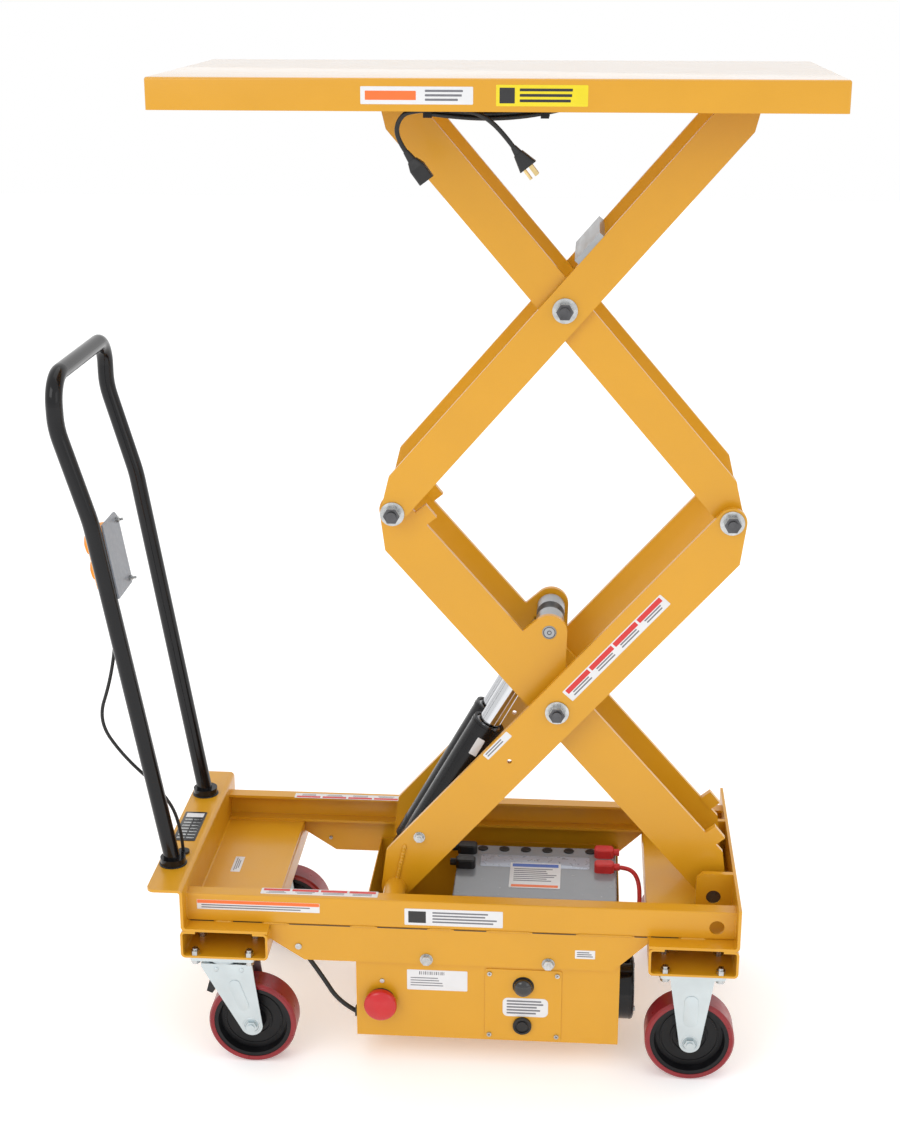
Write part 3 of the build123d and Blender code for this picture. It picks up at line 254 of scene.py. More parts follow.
def smooth(obj, angle=0.6):
    """Smooth shading on round surfaces, with sharp edges kept sharp."""
    mesh = obj.data
    for poly in mesh.polygons:
        poly.use_smooth = True
    bm = bmesh.new()
    bm.from_mesh(mesh)
    sharp = [
        edge.index for edge in bm.edges
        if len(edge.link_faces) != 2 or edge.calc_face_angle(0.0) > angle
    ]
    bm.free()
    flags = [False] * len(mesh.edges)
    for index in sharp:
        flags[index] = True
    attribute = mesh.attributes.get("sharp_edge") or mesh.attributes.new(
        "sharp_edge", "BOOLEAN", "EDGE"
    )
    attribute.data.foreach_set("value", flags)
    mesh.update()


WHEELS = [(kind, side) for kind in ("swivel", "rigid") for side in ("near", "far")]
LOOKS = {
    "paint": [
        "side_rails", "skirt_plates", "handle_end_plate", "pivot_end_plate", "caster_beams",
        "pivot_brackets", "control_box", "access_panel", "lower_outer_plates",
        "lower_inner_plates", "rod_brackets", "upper_outer_plates", "upper_inner_plates",
        "deck_shell", "deck_underframe",
    ],
    "black_paint": ["push_handle"],
    "barrel": ["cylinder_barrels"],
    "zinc": [
        "swivel_caster_plates", "rigid_caster_forks", "swivel_fork_near", "swivel_fork_far",
    ],
    "zinc_nut": ["base_fasteners", "hydraulic_pipe"],
    "steel": ["rod_pin", "arm_tie_plate", "upper_roller_axle", "lower_rollers", "upper_rollers"],
    "dark_steel": ["base_pivot_shaft"],
    "chrome": ["cylinder_rods"],
    "tread": [f"{kind}_wheel_tread_{side}" for kind, side in WHEELS],
    "core": [f"{kind}_wheel_core_{side}" for kind, side in WHEELS],
    "black_plastic": [
        "small_fittings", "up_button", "down_button", "brake_pedal_near", "brake_pedal_far",
    ],
    "dome": ["valve_knob"],
    "red_plastic": ["estop_button"],
    "pendant": ["pendant_housing"],
    "grey": ["pendant_bracket"],
    "rubber": ["pendant_cable", "box_cable", "connector_tail", "plug_tail", "charger_hank"],
    "red_rubber": ["battery_leads"],
    "webbing": ["cord_straps"],
}
for look, names in LOOKS.items():
    for name in names:
        dress(name, look)


def split_faces(node, index, test):
    """Give the faces whose centre passes the test another of the node's materials."""
    for poly in nodes[node].data.polygons:
        if test(poly.center):
            poly.material_index = index


dress("terminal_boots", "red_rubber", "black_plastic")
split_faces("terminal_boots", 1, lambda c: c.x < 0.17)
dress("battery", "black_plastic", "battery_top")
split_faces("battery", 1, lambda c: c.z > 0.2265)

# The outer ends are dark, and what lies between the plates is painted.
dress("lower_outer_shafts", "zinc_nut", "dark_steel", "paint")
split_faces("lower_outer_shafts", 1, lambda c: abs(c.y) > 0.1275)
split_faces(
    "lower_outer_shafts", 2, lambda c: abs(c.y) < 0.111 or (c.z < 0.32 and abs(c.y) < 0.182)
)
dress("upper_outer_shafts", "zinc_nut", "dark_steel", "paint")
split_faces("upper_outer_shafts", 1, lambda c: abs(c.y) > 0.1155)
split_faces("upper_outer_shafts", 2, lambda c: abs(c.y) < 0.099)

# From the right: motor, valve block, oil tank.
dress("pump_unit", "black_paint", "zinc", "tank")
split_faces("pump_unit", 1, lambda c: 0.1385 < c.x < 0.1895)
split_faces("pump_unit", 2, lambda c: c.x <= 0.1385)

# The blades are what lies past the plug's end face, measured from where the cord enters it.
cord_entry, plug_dir = Vector((0.133, -0.242, 1.569)), Vector((0.614, 0, -0.789))
plug_left, plug_length = 0.12, 0.0358
dress("charger_plugs", "black_plastic", "brass")
split_faces(
    "charger_plugs", 1,
    lambda c: c.x > plug_left and (c - cord_entry).dot(plug_dir) > plug_length,
)
for name in nodes:
    smooth(nodes[name])

# ---------------------------------------------------------------- making pieces
scene_collection = bpy.context.scene.collection


def link(obj, body, mats, replaces=()):
    """Put an object in the scene with its materials, riding on a body."""
    scene_collection.objects.link(obj)
    for mat in mats:
        obj.data.materials.append(M[mat])
    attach(obj, body)
    if replaces:
        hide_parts(*replaces)
    return obj


def piece(name, bm, body, mats, angle=0.6, replaces=()):
    """Make a named object of a bmesh."""
    bmesh.ops.recalc_face_normals(bm, faces=bm.faces)
    mesh = bpy.data.meshes.new(name)
    bm.to_mesh(mesh)
    bm.free()
    obj = link(bpy.data.objects.new(name, mesh), body, mats, replaces)
    smooth(obj, angle)
    return obj


def metres(point):
    return tuple(value * MM for value in point)


def cord_piece(name, points, radius, body, mat, replaces):
    """A round cord through control points in mm."""
    curve = bpy.data.curves.new(name, "CURVE")
    curve.dimensions = "3D"
    spline = curve.splines.new("NURBS")
    spline.points.add(len(points) - 1)
    for target, point in zip(spline.points, points):
        target.co = (*metres(point), 1.0)
    spline.order_u = 3
    spline.use_endpoint_u = True
    spline.resolution_u = 8
    curve.bevel_depth = radius * MM
    curve.bevel_resolution = 4
    curve.use_fill_caps = True
    obj = bpy.data.objects.new(name, curve)
    return link(obj, body, [mat], replaces)


# ---------------------------------------------------------------- cords
pendant_route = [
    (-537.69, -104, 802.73), (-534, -108, 745), (-547, -116, 664), (-572, -120, 592),
    (-531, -120, 526), (-469, -117, 464), (-441, -106, 401), (-440.0, -100.0, 337),
]
pendant_cable = cord_piece(
    "pendant_cord", pendant_route, 3.0, "base", "rubber", ["pendant_cable"]
)

box_route = [
    (-267.4, -188, 242), (-232, -190, 228), (-208, -191, 190), (-184, -190, 152),
    (-157, -189, 104), (-126.6, -188, 86),
]
box_cable = cord_piece(
    "box_cord", box_route, 4.0, "base", "rubber", ["box_cable"]
)

lead_route = [
    (313, 51, 258.05), (340, 51, 258.05), (357, 48, 249), (365, 40, 231), (366, 16, 212),
    (363, -28, 205), (356, -80, 204), (341, -135, 199.5),
]
lead = cord_piece(
    "battery_lead", lead_route, 4.0, "base", "red_rubber", ["battery_leads"]
)

# Both tails hang in one plane; the turns lie behind it, in two straps.
cord_y, tie_y, hank_y = -242.0, -237.6, -207.5
connector_route = [
    (44, tie_y, 1621), (-17, cord_y, 1621), (-35, cord_y, 1606), (-38, cord_y - 1, 1582),
    (-24, cord_y - 1, 1561.5),
]
connector_cord = cord_piece(
    "connector_cord", connector_route, 3.5, "deck", "rubber", ["connector_tail"]
)

hank_mid, hank_reach, hank_low, hank_sag = 92.25, 153.0, 1613.0, 30.0


def hank_point(x, across, up):
    """A point of the gathered cord, which sags between its two ends."""
    sag = hank_low + hank_sag * ((x - hank_mid) / hank_reach) ** 2
    return (x, hank_y + across, sag + up)


def to_right(across, up, start=-14.0, stop=200.0, bunch=0.55):
    """One run of the gathered cord, drawn together in the middle."""
    middle = across * bunch
    return [
        hank_point(start, across, up), hank_point(40, middle * 1.25, up * 0.9),
        hank_point(92, middle, up * 0.85), hank_point(146, middle * 1.25, up * 0.9),
        hank_point(stop, across, up),
    ]


def fold(x, side, ups, radius=22.6):
    """The corner points of a half turn that runs from -side to +side, bulging along x."""
    sign = 1 if x > hank_mid else -1
    spots = ((0.414, -1.0), (1.0, -0.414), (1.0, 0.414), (0.414, 1.0))
    return [
        hank_point(x + sign * radius * out, side * radius * across, up)
        for (out, across), up in zip(spots, ups)
    ]


charger_route = (
    to_right(-22.6, -7.5, start=8.0)
    + fold(217, 1, (-7.2, -6.8, -6.4, -6.0))
    + to_right(22.6, -5.5)[::-1]
    + fold(-33, -1, (-4.6, -3.2, -1.8, -0.4))
    + to_right(-22.6, 0.4)
    + fold(217, 1, (0.6, 1.0, 1.4, 1.8))
    + to_right(22.6, 2.2)[::-1]
    + fold(-33, -1, (3.0, 4.4, 5.8, 7.2))
    + [hank_point(-14, -22.0, 7.6), hank_point(20, -22.4, 7.2)]
    + [(52, tie_y + 2.0, 1621.5), (84, cord_y, 1616), (112, cord_y, 1596), (133, cord_y, 1569)]
)
charger_cord = cord_piece(
    "charger_cord", charger_route, 3.5, "deck", "rubber",
    ["charger_hank", "plug_tail"],
)

# ---------------------------------------------------------------- shared places, mm
arm_left, arm_middle, arm_right = -64.5, 211.4, 487.25
pivots = {
    "base_fixed": (arm_right, 289.5), "base_rolling": (arm_left, 289.5),
    "lower_centre": (arm_middle, 627.8), "left_joint": (arm_left, 966.0),
    "right_joint": (arm_right, 966.0), "upper_centre": (arm_middle, 1304.3),
}
rail_y, tray_top, beam_low = 209.0, 264.1, 209.0
deck_front, box_face, panel_face, arm_face = -253.6, -203.8, -205.3, -112.0
caster_y, wheel_r, fork_face = 200.0, 76.2, 32.0
stem_x, swivel_wheel_x, rigid_wheel_x = -350, -304, 449
pump_y, motor_z = -140, 127
cylinder_y, cylinder_lean = 34, math.radians(60.9355)
handle_x, handle_foot_z, handle_radius, handle_lean = -449.0, 339.2, 14.0, math.radians(9.4643)

# ---------------------------------------------------------------- detail helpers
UP, RIGHT = Vector((0, 0, 1)), Vector((1, 0, 0))
NEAR, AWAY = Vector((0, -1, 0)), Vector((0, 1, 0))


def close_rings(bm, rings, mat=0):
    """Join rings of points, one over the other, and cap both ends."""
    for low, high in zip(rings, rings[1:]):
        count = len(low)
        for index in range(count):
            nxt = (index + 1) % count
            face = bm.faces.new((low[index], low[nxt], high[nxt], high[index]))
            face.material_index = mat
    bm.faces.new(rings[0][::-1]).material_index = mat
    bm.faces.new(rings[-1]).material_index = mat


def close_columns(bm, columns):
    """Join closed sections, one after the other, into a closed ring."""
    for one, two in zip(columns, columns[1:] + columns[:1]):
        for row in range(len(one)):
            nxt = (row + 1) % len(one)
            bm.faces.new((one[row], one[nxt], two[nxt], two[row]))


def add_plate(bm, centre, u, v, size, thick, radius=2.0, bevel=0.0, mat=0, steps=6):
    """A rounded plate: centre on its back face, u and v in mm, standing up along u x v."""
    u, v = Vector(u).normalized(), Vector(v).normalized()
    n = u.cross(v)
    half_w, half_h = size[0] / 2, size[1] / 2
    radius = min(radius, half_w * 0.999, half_h * 0.999)
    layers = [(0.0, 0.0), (thick - bevel, 0.0)]
    if bevel:
        layers += [(thick - bevel * 0.3, bevel * 0.3), (thick, bevel)]
    rings = []
    for height, inset in layers:
        ring = []
        for corner, (sx, sy) in enumerate(((1, 1), (-1, 1), (-1, -1), (1, -1))):
            for step in range(steps + 1):
                angle = math.radians(corner * 90 + 90 * step / steps)
                reach = max(radius - inset, 0.01)
                x = sx * (half_w - radius) + reach * math.cos(angle)
                y = sy * (half_h - radius) + reach * math.sin(angle)
                ring.append(bm.verts.new(Vector(centre) * MM + (u * x + v * y + n * height) * MM))
        rings.append(ring)
    close_rings(bm, rings, mat)


def side_axes(axis):
    """The axis as a unit vector, with two more square to it."""
    axis = Vector(axis).normalized()
    other = UP if abs(axis.z) < 0.9 else RIGHT
    u = other.cross(axis).normalized()
    return axis, u, axis.cross(u)


def add_lathe(bm, origin, axis, profile, count=48, mat=0):
    """A closed turned piece; profile is (radius, height) from one axis end to the other."""
    axis, u, v = side_axes(axis)
    rings = []
    for radius, height in profile:
        radius = max(radius, 0.02)
        ring = []
        for index in range(count):
            angle = 2 * math.pi * index / count
            offset = u * math.cos(angle) * radius + v * math.sin(angle) * radius + axis * height
            ring.append(bm.verts.new((Vector(origin) + offset) * MM))
        rings.append(ring)
    close_rings(bm, rings, mat)


def add_band(bm, origin, axis, profile, count=64):
    """A closed ring: the profile is a closed loop of (radius, height)."""
    axis, u, v = side_axes(axis)
    columns = []
    for index in range(count):
        angle = 2 * math.pi * index / count
        out = u * math.cos(angle) + v * math.sin(angle)
        columns.append(
            [bm.verts.new((Vector(origin) + out * r + axis * h) * MM) for r, h in profile]
        )
    close_columns(bm, columns)


def add_bead(bm, start, end, radius, pitch=4.0):
    """A weld bead: a rippled rod with tapered ends."""
    start, end = Vector(start), Vector(end)
    axis, u, v = side_axes(end - start)
    length = (end - start).length
    count, sides = max(6, int(length / pitch) * 4), 10
    rings = []
    for step in range(count + 1):
        t = step / count
        along = t * length
        taper = min(1.0, 0.35 + 2.2 * min(t, 1 - t) * length / 10.0)
        swell = radius * taper * (1 + 0.10 * math.cos(2 * math.pi * along / pitch))
        swell *= 1 + random.uniform(-0.03, 0.03)
        ring = []
        for index in range(sides):
            angle = 2 * math.pi * index / sides
            offset = u * math.cos(angle) * swell + v * math.sin(angle) * swell
            ring.append(bm.verts.new((start + axis * along + offset) * MM))
        rings.append(ring)
    close_rings(bm, rings)


def add_rod(bm, points, radius, count):
    """A round rod through points, with domed ends."""
    points = [Vector(point) for point in points]
    dome = [(radius * 0.3, 0.86), (radius * 0.5, 0.55)]
    rings = []
    previous = None
    for index, point in enumerate(points):
        before = points[max(index - 1, 0)]
        after = points[min(index + 1, len(points) - 1)]
        axis = (after - before).normalized()
        if previous is None:
            _, u, _ = side_axes(axis)
        else:
            u = (previous - axis * previous.dot(axis)).normalized()
        previous = u
        v = axis.cross(u)
        steps = [(0.0, 1.0)]
        if index == 0:
            steps = [(-shift, scale) for shift, scale in dome[::-1]] + steps
        elif index == len(points) - 1:
            steps += dome
        for shift, scale in steps:
            ring = []
            for k in range(count):
                turn = 2 * math.pi * k / count
                out = (u * math.cos(turn) + v * math.sin(turn)) * radius * scale
                ring.append(bm.verts.new((point + axis * shift + out) * MM))
            rings.append(ring)
    close_rings(bm, rings)


def sticker(name, body, centre, u, v, size, base, bars=(), radius=2.0, thick=0.35):
    """A printed label: a thin plate with bars (u, v, width, height, material) on it."""
    sunk, bar_thick = 0.08, 0.11
    mats = [base]
    bm = bmesh.new()
    add_plate(bm, centre, u, v, size, thick, radius, 0.1)
    u, v = Vector(u).normalized(), Vector(v).normalized()
    lift = u.cross(v) * (thick - sunk)
    for across, up, width, height, mat in bars:
        if mat not in mats:
            mats.append(mat)
        spot = Vector(centre) + u * across + v * up + lift
        corner = min(0.8, height / 2.2)
        index = mats.index(mat)
        add_plate(bm, spot, u, v, (width, height), bar_thick, corner, mat=index, steps=3)
    return piece(name, bm, body, mats)


def text_rows(width, top, rows, height, gap, mat="ink", ragged=0.25, left=None):
    """Grey bars standing for lines of print, with uneven ends."""
    left = -width / 2 if left is None else left
    bars = []
    for row in range(rows):
        span = width * (1 - random.uniform(0, ragged))
        middle = top - row * (height + gap)
        bars.append((left + span / 2, middle, span, height, mat))
    return bars


# ---------------------------------------------------------------- labels
sticker(
    "deck_label_white", "deck", (-6.5, deck_front, 1641.5), RIGHT, UP, (163, 25), "white",
    [(-38, 0, 74, 13, "orange")] + text_rows(62, 6.5, 3, 3.2, 3.0, left=12), 1.5,
)
sticker(
    "deck_label_yellow", "deck", (174, deck_front, 1642), RIGHT, UP, (132, 30), "label_yellow",
    [(-50, 0, 22, 22, "label_black")] + text_rows(86, 8, 3, 4.0, 3.6, "label_black", left=-32), 1.5,
)
sticker(
    "rail_label_orange", "base", (-289.5, -rail_y, 296), RIGHT, UP, (211, 18), "white",
    [(0, 5.6, 210, 6.4, "orange")] + text_rows(196, -0.6, 2, 2.2, 2.2, left=-98), 1.0,
)
sticker(
    "rail_label_white", "base", (44.5, -rail_y, 286.5), RIGHT, UP, (167, 31), "white",
    [(-62, 0, 30, 22, "label_black")] + text_rows(112, 9, 4, 3.0, 2.8, left=-36), 1.5,
)


def strip_bars(length, width, side=1):
    """A red heading in four parts over two rows of print."""
    part = length / 4
    bars = []
    for k in range(4):
        middle = -length / 2 + part * (k + 0.5)
        bars.append((middle, side * width * 0.24, part - 4, width * 0.36, "label_red"))
        for row in (0.06, 0.26):
            span = (part - 12) * random.uniform(0.7, 1.0)
            bars.append((middle, -side * width * row, span, width * 0.1, "ink"))
    return bars


for side, tag in ((-1, "near"), (1, "far")):
    sticker(
        f"crush_strip_{tag}", "base", (-186.5, side * 189.0, 314.9), RIGHT, AWAY, (201, 20),
        "white", strip_bars(197, 20, -side), 1.5,
    )
arm_lean = math.radians(48.5)
arm_dir = Vector((math.cos(arm_lean), 0, math.sin(arm_lean)))
arm_up = NEAR.cross(arm_dir)
sticker(
    "arm_strip", "lower_outer_arms", (306.5, arm_face, 745.5), arm_dir, arm_up, (236, 24), "white",
    strip_bars(230, 24), 1.5,
)
sticker(
    "arm_tag", "lower_outer_arms", (111.6, arm_face, 564.0), arm_dir, arm_up, (60, 13), "white",
    text_rows(52, 3.2, 2, 2.2, 2.4), 1.5,
)
line_code = [(-30 + 3.2 * k, 13.5, 1.2 + 0.8 * (k % 3 == 0), 6.5, "ink") for k in range(14)]
sticker(
    "box_label", "base", (16, box_face, 162.5), RIGHT, UP, (104, 39), "white",
    line_code + text_rows(60, 4.0, 4, 1.8, 3.0, left=-46), 2.0,
)
sticker(
    "panel_label", "base", (168, -205.45, 117), RIGHT, UP, (78, 36), "white",
    text_rows(64, 12, 5, 3.2, 2.6), 9.0,
)
plate_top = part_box("handle_end_plate")[1][2] / MM
plate_rows = [(across, 26 - 12 * k, 14, 5, "zinc_nut") for across in (-8, 9) for k in range(7)]
sticker(
    "data_plate", "base", (handle_x, 1.5, plate_top), RIGHT, AWAY, (40, 116), "label_black",
    [(0, 44, 32, 16, "white")] + plate_rows, 3.0, 0.8,
)
sticker(
    "tray_label", "base", (-364.5, 0, tray_top), RIGHT, AWAY, (17, 58), "white",
    [(-3.5 + 3.4 * k, 0, 1.7, 48 - 9 * k, "ink") for k in range(3)], 1.0,
)
sticker(
    "battery_label", "base", (176, 22, 250.35), RIGHT, AWAY, (92, 96), "white",
    [(0, 38, 84, 12, "label_blue"), (0, -40, 84, 9, "orange")]
    + text_rows(78, 24, 7, 3.4, 4.0, left=-39), 3.0,
)
sticker(
    "skirt_tag", "base", (268, -208.65, 226), RIGHT, UP, (34, 16), "white",
    text_rows(28, 4, 3, 2.0, 1.8), 1.0,
)

# ---------------------------------------------------------------- deck shell
# The near face stands back by a little more than a label, so that labels stay in the CAD box.
label_room = 0.4
deck_lo, deck_hi = [Vector(corner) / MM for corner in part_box("deck_shell")]
deck_lo.y += label_room
deck_mid = (deck_lo + deck_hi) / 2
deck_span = deck_hi - deck_lo


def round_outline(bm, inset, z):
    """The deck's outline with rounded corners, pulled in and at a height."""
    half_x, half_y = deck_span.x / 2 - inset, deck_span.y / 2 - inset
    radius = max(3.0 - inset, 0.6)
    ring = []
    for corner, (sx, sy) in enumerate(((1, 1), (-1, 1), (-1, -1), (1, -1))):
        for step in range(6):
            angle = math.radians(corner * 90 + 18 * step)
            x = deck_mid.x + sx * (half_x - radius) + radius * math.cos(angle)
            y = deck_mid.y + sy * (half_y - radius) + radius * math.sin(angle)
            ring.append(bm.verts.new(Vector((x, y, z)) * MM))
    return ring


# The bent sheet as (inset, height): down its inside, around its lower edge, up its outside.
top_z, low_z = deck_hi.z, deck_lo.z
sheet = [
    (8.0, top_z - 3), (4.2, top_z - 3), (3.3, top_z - 3.4), (3.0, top_z - 4.4), (3.0, low_z + 0.3),
    (2.7, low_z), (0.3, low_z), (0.0, low_z + 0.3), (0.0, top_z - 4.0), (0.3, top_z - 2.4),
    (1.2, top_z - 1.1), (2.4, top_z - 0.3), (4.0, top_z),
]
bm = bmesh.new()
close_rings(bm, [round_outline(bm, inset, z) for inset, z in sheet])
deck = piece(
    "deck_shell_bent", bm, "deck", ["paint", "deck_top"], 0.5, ["deck_shell"]
)
for poly in deck.data.polygons:
    if poly.normal.z > 0.5:
        poly.material_index = 1


# ---------------------------------------------------------------- welds
def add_ring_bead(bm, centre, axis, ring_radius, bead, ripple=30):
    """A weld bead around a tube."""
    axis, u, v = side_axes(axis)
    columns = []
    around, sides = 96, 8
    for index in range(around):
        angle = 2 * math.pi * index / around
        out = u * math.cos(angle) + v * math.sin(angle)
        swell = bead * (1 + 0.1 * math.cos(ripple * angle))
        column = []
        for k in range(sides):
            turn = 2 * math.pi * k / sides
            spot = Vector(centre) + out * (ring_radius + swell * math.cos(turn))
            column.append(bm.verts.new((spot + axis * swell * math.sin(turn)) * MM))
        columns.append(column)
    close_columns(bm, columns)


for name, body, inside, spots in (
    ("lower_inner_tube_welds", "lower_inner_arms", 66, ("base_fixed", "lower_centre", "left_joint")),
    ("upper_inner_tube_welds", "upper_inner_arms", 78, ("right_joint", "upper_centre")),
):
    bm = bmesh.new()
    for spot in spots:
        x, z = pivots[spot]
        for side in (-1, 1):
            add_ring_bead(bm, (x, side * (inside - 0.4), z), AWAY, 19.6, 2.2)
    piece(name, bm, body, ["weld"])

bm = bmesh.new()
for low, high in (
    (-365, -336), (-282, -239), (-130, -88), (3, 42), (103, 175), (255, 347), (427, 470),
):
    for side in (-1, 1):
        add_bead(bm, (low, side * rail_y, tray_top), (high, side * rail_y, tray_top), 1.9)
for x in (-412.8, 518.8):
    for side in (-1, 1):
        add_bead(bm, (x, side * 208.6, 268), (x, side * 208.6, 311), 2.0)
for x in (-270.0, 374.0):
    for side in (-1, 1):
        add_bead(bm, (x, side * 150, 258.9), (x, side * 196, 258.9), 2.0)
piece("frame_welds", bm, "base", ["weld"])
bm = bmesh.new()
for side in (-1, 1):
    add_bead(bm, (-46.7, side * 112.3, 373), (-66.9, side * 112.3, 279), 4.0, 6.0)
piece("lower_outer_welds", bm, "lower_outer_arms", ["weld"])

# Black strips of painted shade in the gaps between the weld runs; beside the tray and over the
# right-hand beam they lie higher.
tray_end, beam_start = -271, 374
bm = bmesh.new()
for low, high in (
    (-408, -367), (-334, -284), (-237, -132), (-86, 0), (45, 100), (178, 252), (350, 372),
    (378, 424),
):
    z = 263.6 if tray_end < low < beam_start else 265.0
    centre = ((low + high) / 2, -208.98, z)
    add_plate(bm, centre, RIGHT, UP, (high - low, 1.6), 0.14, 0.7, steps=3)
piece("rail_gap_painted_shade", bm, "base", ["label_black"])

bm = bmesh.new()
for side in (-1, 1):
    add_ring_bead(bm, (handle_x, side * 141, plate_top + 0.6), UP, 22.2, 2.0, 34)
piece("collar_welds", bm, "base", ["black_paint"])

# ---------------------------------------------------------------- casters
race = [(31.05, -13.4), (35.4, -12.8), (36.6, -10.4), (35.4, -7.2), (31.05, -6.1)]
rivet = [(4.2, -0.2), (4.2, 0.8), (3.0, 2.0), (1.2, 2.5)]
bm = bmesh.new()
for side in (-1, 1):
    add_band(bm, (stem_x, side * caster_y, beam_low), UP, race)
piece("swivel_races", bm, "base", ["zinc"], 0.8)

foot, head = Vector((swivel_wheel_x, 0, wheel_r)), Vector((-344, 0, 194))
fork_dir = (head - foot).normalized()
middle = foot + fork_dir * 62
for side, tag in ((-1, "near"), (1, "far")):
    bm = bmesh.new()
    for face in (-1, 1):
        y = side * caster_y + face * fork_face
        out = (0, face, 0)
        across = fork_dir.cross(Vector(out)).normalized()
        add_plate(bm, (middle.x, y, middle.z), across, fork_dir, (20, 62), 1.3, 9.9, 0.9, steps=8)
        ring = [(11.6, 0), (15.5, 0), (14.6, 1.0), (12.4, 1.0)]
        add_band(bm, (swivel_wheel_x, y, wheel_r), out, ring)
        for x in (-362, -318):
            add_lathe(bm, (x, y, 184), out, rivet, count=20)
    piece(f"swivel_fork_ribs_{tag}", bm, f"swivel_fork_{tag}", ["zinc"])

bm = bmesh.new()
for side in (-1, 1):
    for face in (-1, 1):
        y = side * caster_y + face * fork_face
        out = (0, face, 0)
        across = UP.cross(Vector(out)).normalized()
        centre = (rigid_wheel_x, y, wheel_r + 62)
        add_plate(bm, centre, across, UP, (24, 60), 1.3, 11.9, 0.9, steps=8)
        ring = [(11.6, 0), (15.0, 0), (14.2, 1.0), (12.4, 1.0)]
        add_band(bm, (rigid_wheel_x, y, wheel_r), out, ring)
piece("rigid_fork_ribs", bm, "base", ["zinc"])

for kind, x in (("swivel", swivel_wheel_x), ("rigid", rigid_wheel_x)):
    for side, tag in ((-1, "near"), (1, "far")):
        hub = (x, side * caster_y, wheel_r)
        bm = bmesh.new()
        for face in (-1, 1):
            add_band(bm, hub, (0, face, 0), [(28.5, 7.9), (32.5, 7.9), (31.8, 9.8), (29.2, 9.8)])
            add_band(bm, hub, (0, face, 0), [(47.5, 7.9), (50.5, 7.9), (50.0, 9.4), (48.0, 9.4)])
        piece(f"{kind}_core_ribs_{tag}", bm, f"{kind}_wheel_{tag}", ["core"])
        bm = bmesh.new()
        for face in (-1, 1):
            add_band(bm, hub, (0, face, 0), [(7.0, 26.6), (16.4, 26.6), (16.0, 27.6), (7.4, 27.6)])
        piece(f"{kind}_bearing_covers_{tag}", bm, f"{kind}_wheel_{tag}", ["zinc_nut"])

# ---------------------------------------------------------------- screws and pins
# Dark crosses on the panel screws: painted shade in their slots.
bm = bmesh.new()
for x in (106, 222):
    for z in (62, 181):
        turn = random.uniform(0, 90)
        for angle in (math.radians(turn), math.radians(turn + 90)):
            u = Vector((math.cos(angle), 0, math.sin(angle)))
            add_plate(bm, (x, -208.02, z), u, NEAR.cross(u), (5.2, 0.9), 0.12, 0.4, steps=3)
piece("panel_screw_slot_painted_shade", bm, "base", ["dark_steel"])

for name, body, spots, tip in (
    ("lower_pin_threads", "lower_outer_arms", ("lower_centre", "right_joint"), 131.8),
    ("upper_pin_threads", "upper_outer_arms", ("upper_centre", "left_joint"), 119.8),
):
    bm = bmesh.new()
    for spot in spots:
        x, z = pivots[spot]
        for side in (-1, 1):
            add_band(
                bm, (x, side * tip, z), (0, side, 0),
                [(3.0, -0.2), (5.4, -0.2), (5.2, 0.25), (3.2, 0.25)], 32,
            )
    piece(name, bm, body, ["dark_steel"])

# The rod pin, measured along and square to the lower inner arms from their centre pivot.
centre_x, centre_z = pivots["lower_centre"]
inner_dir, inner_up = Vector((-0.632, 0, 0.775)), Vector((0.775, 0, 0.632))
pin = Vector((centre_x, 0, centre_z)) + inner_dir * 110.4 + inner_up * 69.5
bm = bmesh.new()
for side in (-1, 1):
    end = pin + Vector((0, side * 77.3, 0))
    add_band(bm, end, (0, side, 0), [(2.4, 0), (4.0, 0), (4.0, 0.5), (2.4, 0.5)], 32)
    add_band(bm, end, (0, side, 0), [(8.6, 0), (10.6, 0), (10.2, 0.5), (9.0, 0.5)], 40)
piece("rod_pin_rings", bm, "lower_inner_arms", ["dark_steel"])

# ---------------------------------------------------------------- control box and pump
bm = bmesh.new()
add_band(bm, (-81, -203.7, 118.5), NEAR, [(13.5, 0), (24.5, 0), (23.8, 1.6), (13.5, 1.6)])
piece("estop_collar", bm, "base", ["black_plastic"])
bm = bmesh.new()
for radius, z in ((18.5, 158.0), (15.0, 82.0)):
    bore = radius - 4.6
    ring = [(bore, 0), (radius, 0), (radius - 0.6, 0.9), (bore, 0.9)]
    add_band(bm, (164, panel_face, z), NEAR, ring)
piece("panel_rings", bm, "base", ["black_plastic"])
bm = bmesh.new()
motor = Vector((353, pump_y, motor_z))
add_band(bm, motor, RIGHT, [(30, -0.2), (50.0, -0.2), (49.2, 1.0), (31, 1.0)])
for turn in (math.radians(35), math.radians(215)):
    nut_at = motor + Vector((0, 40 * math.cos(turn), 40 * math.sin(turn)))
    add_lathe(bm, nut_at, RIGHT, [(4.5, -0.3), (4.5, 3.2), (3.9, 3.8)], count=6, mat=1)
for x in (196, 346):
    add_band(bm, (x, pump_y, motor_z), RIGHT, [(54.9, 0), (55.7, 0.2), (55.7, 2.8), (54.9, 3.0)])
piece("motor_end", bm, "base", ["black_paint", "zinc_nut"])
bm = bmesh.new()
add_lathe(bm, (-20, pump_y, 200), UP, [(15.5, 0), (15.5, 9), (14.0, 11), (6.0, 12)], 24)
for side in (-1, 1):
    add_rod(bm, [(-50, pump_y + side * 60, 62), (180, pump_y + side * 60, 62)], 2.5, 10)
piece("tank_cap", bm, "base", ["black_plastic"])

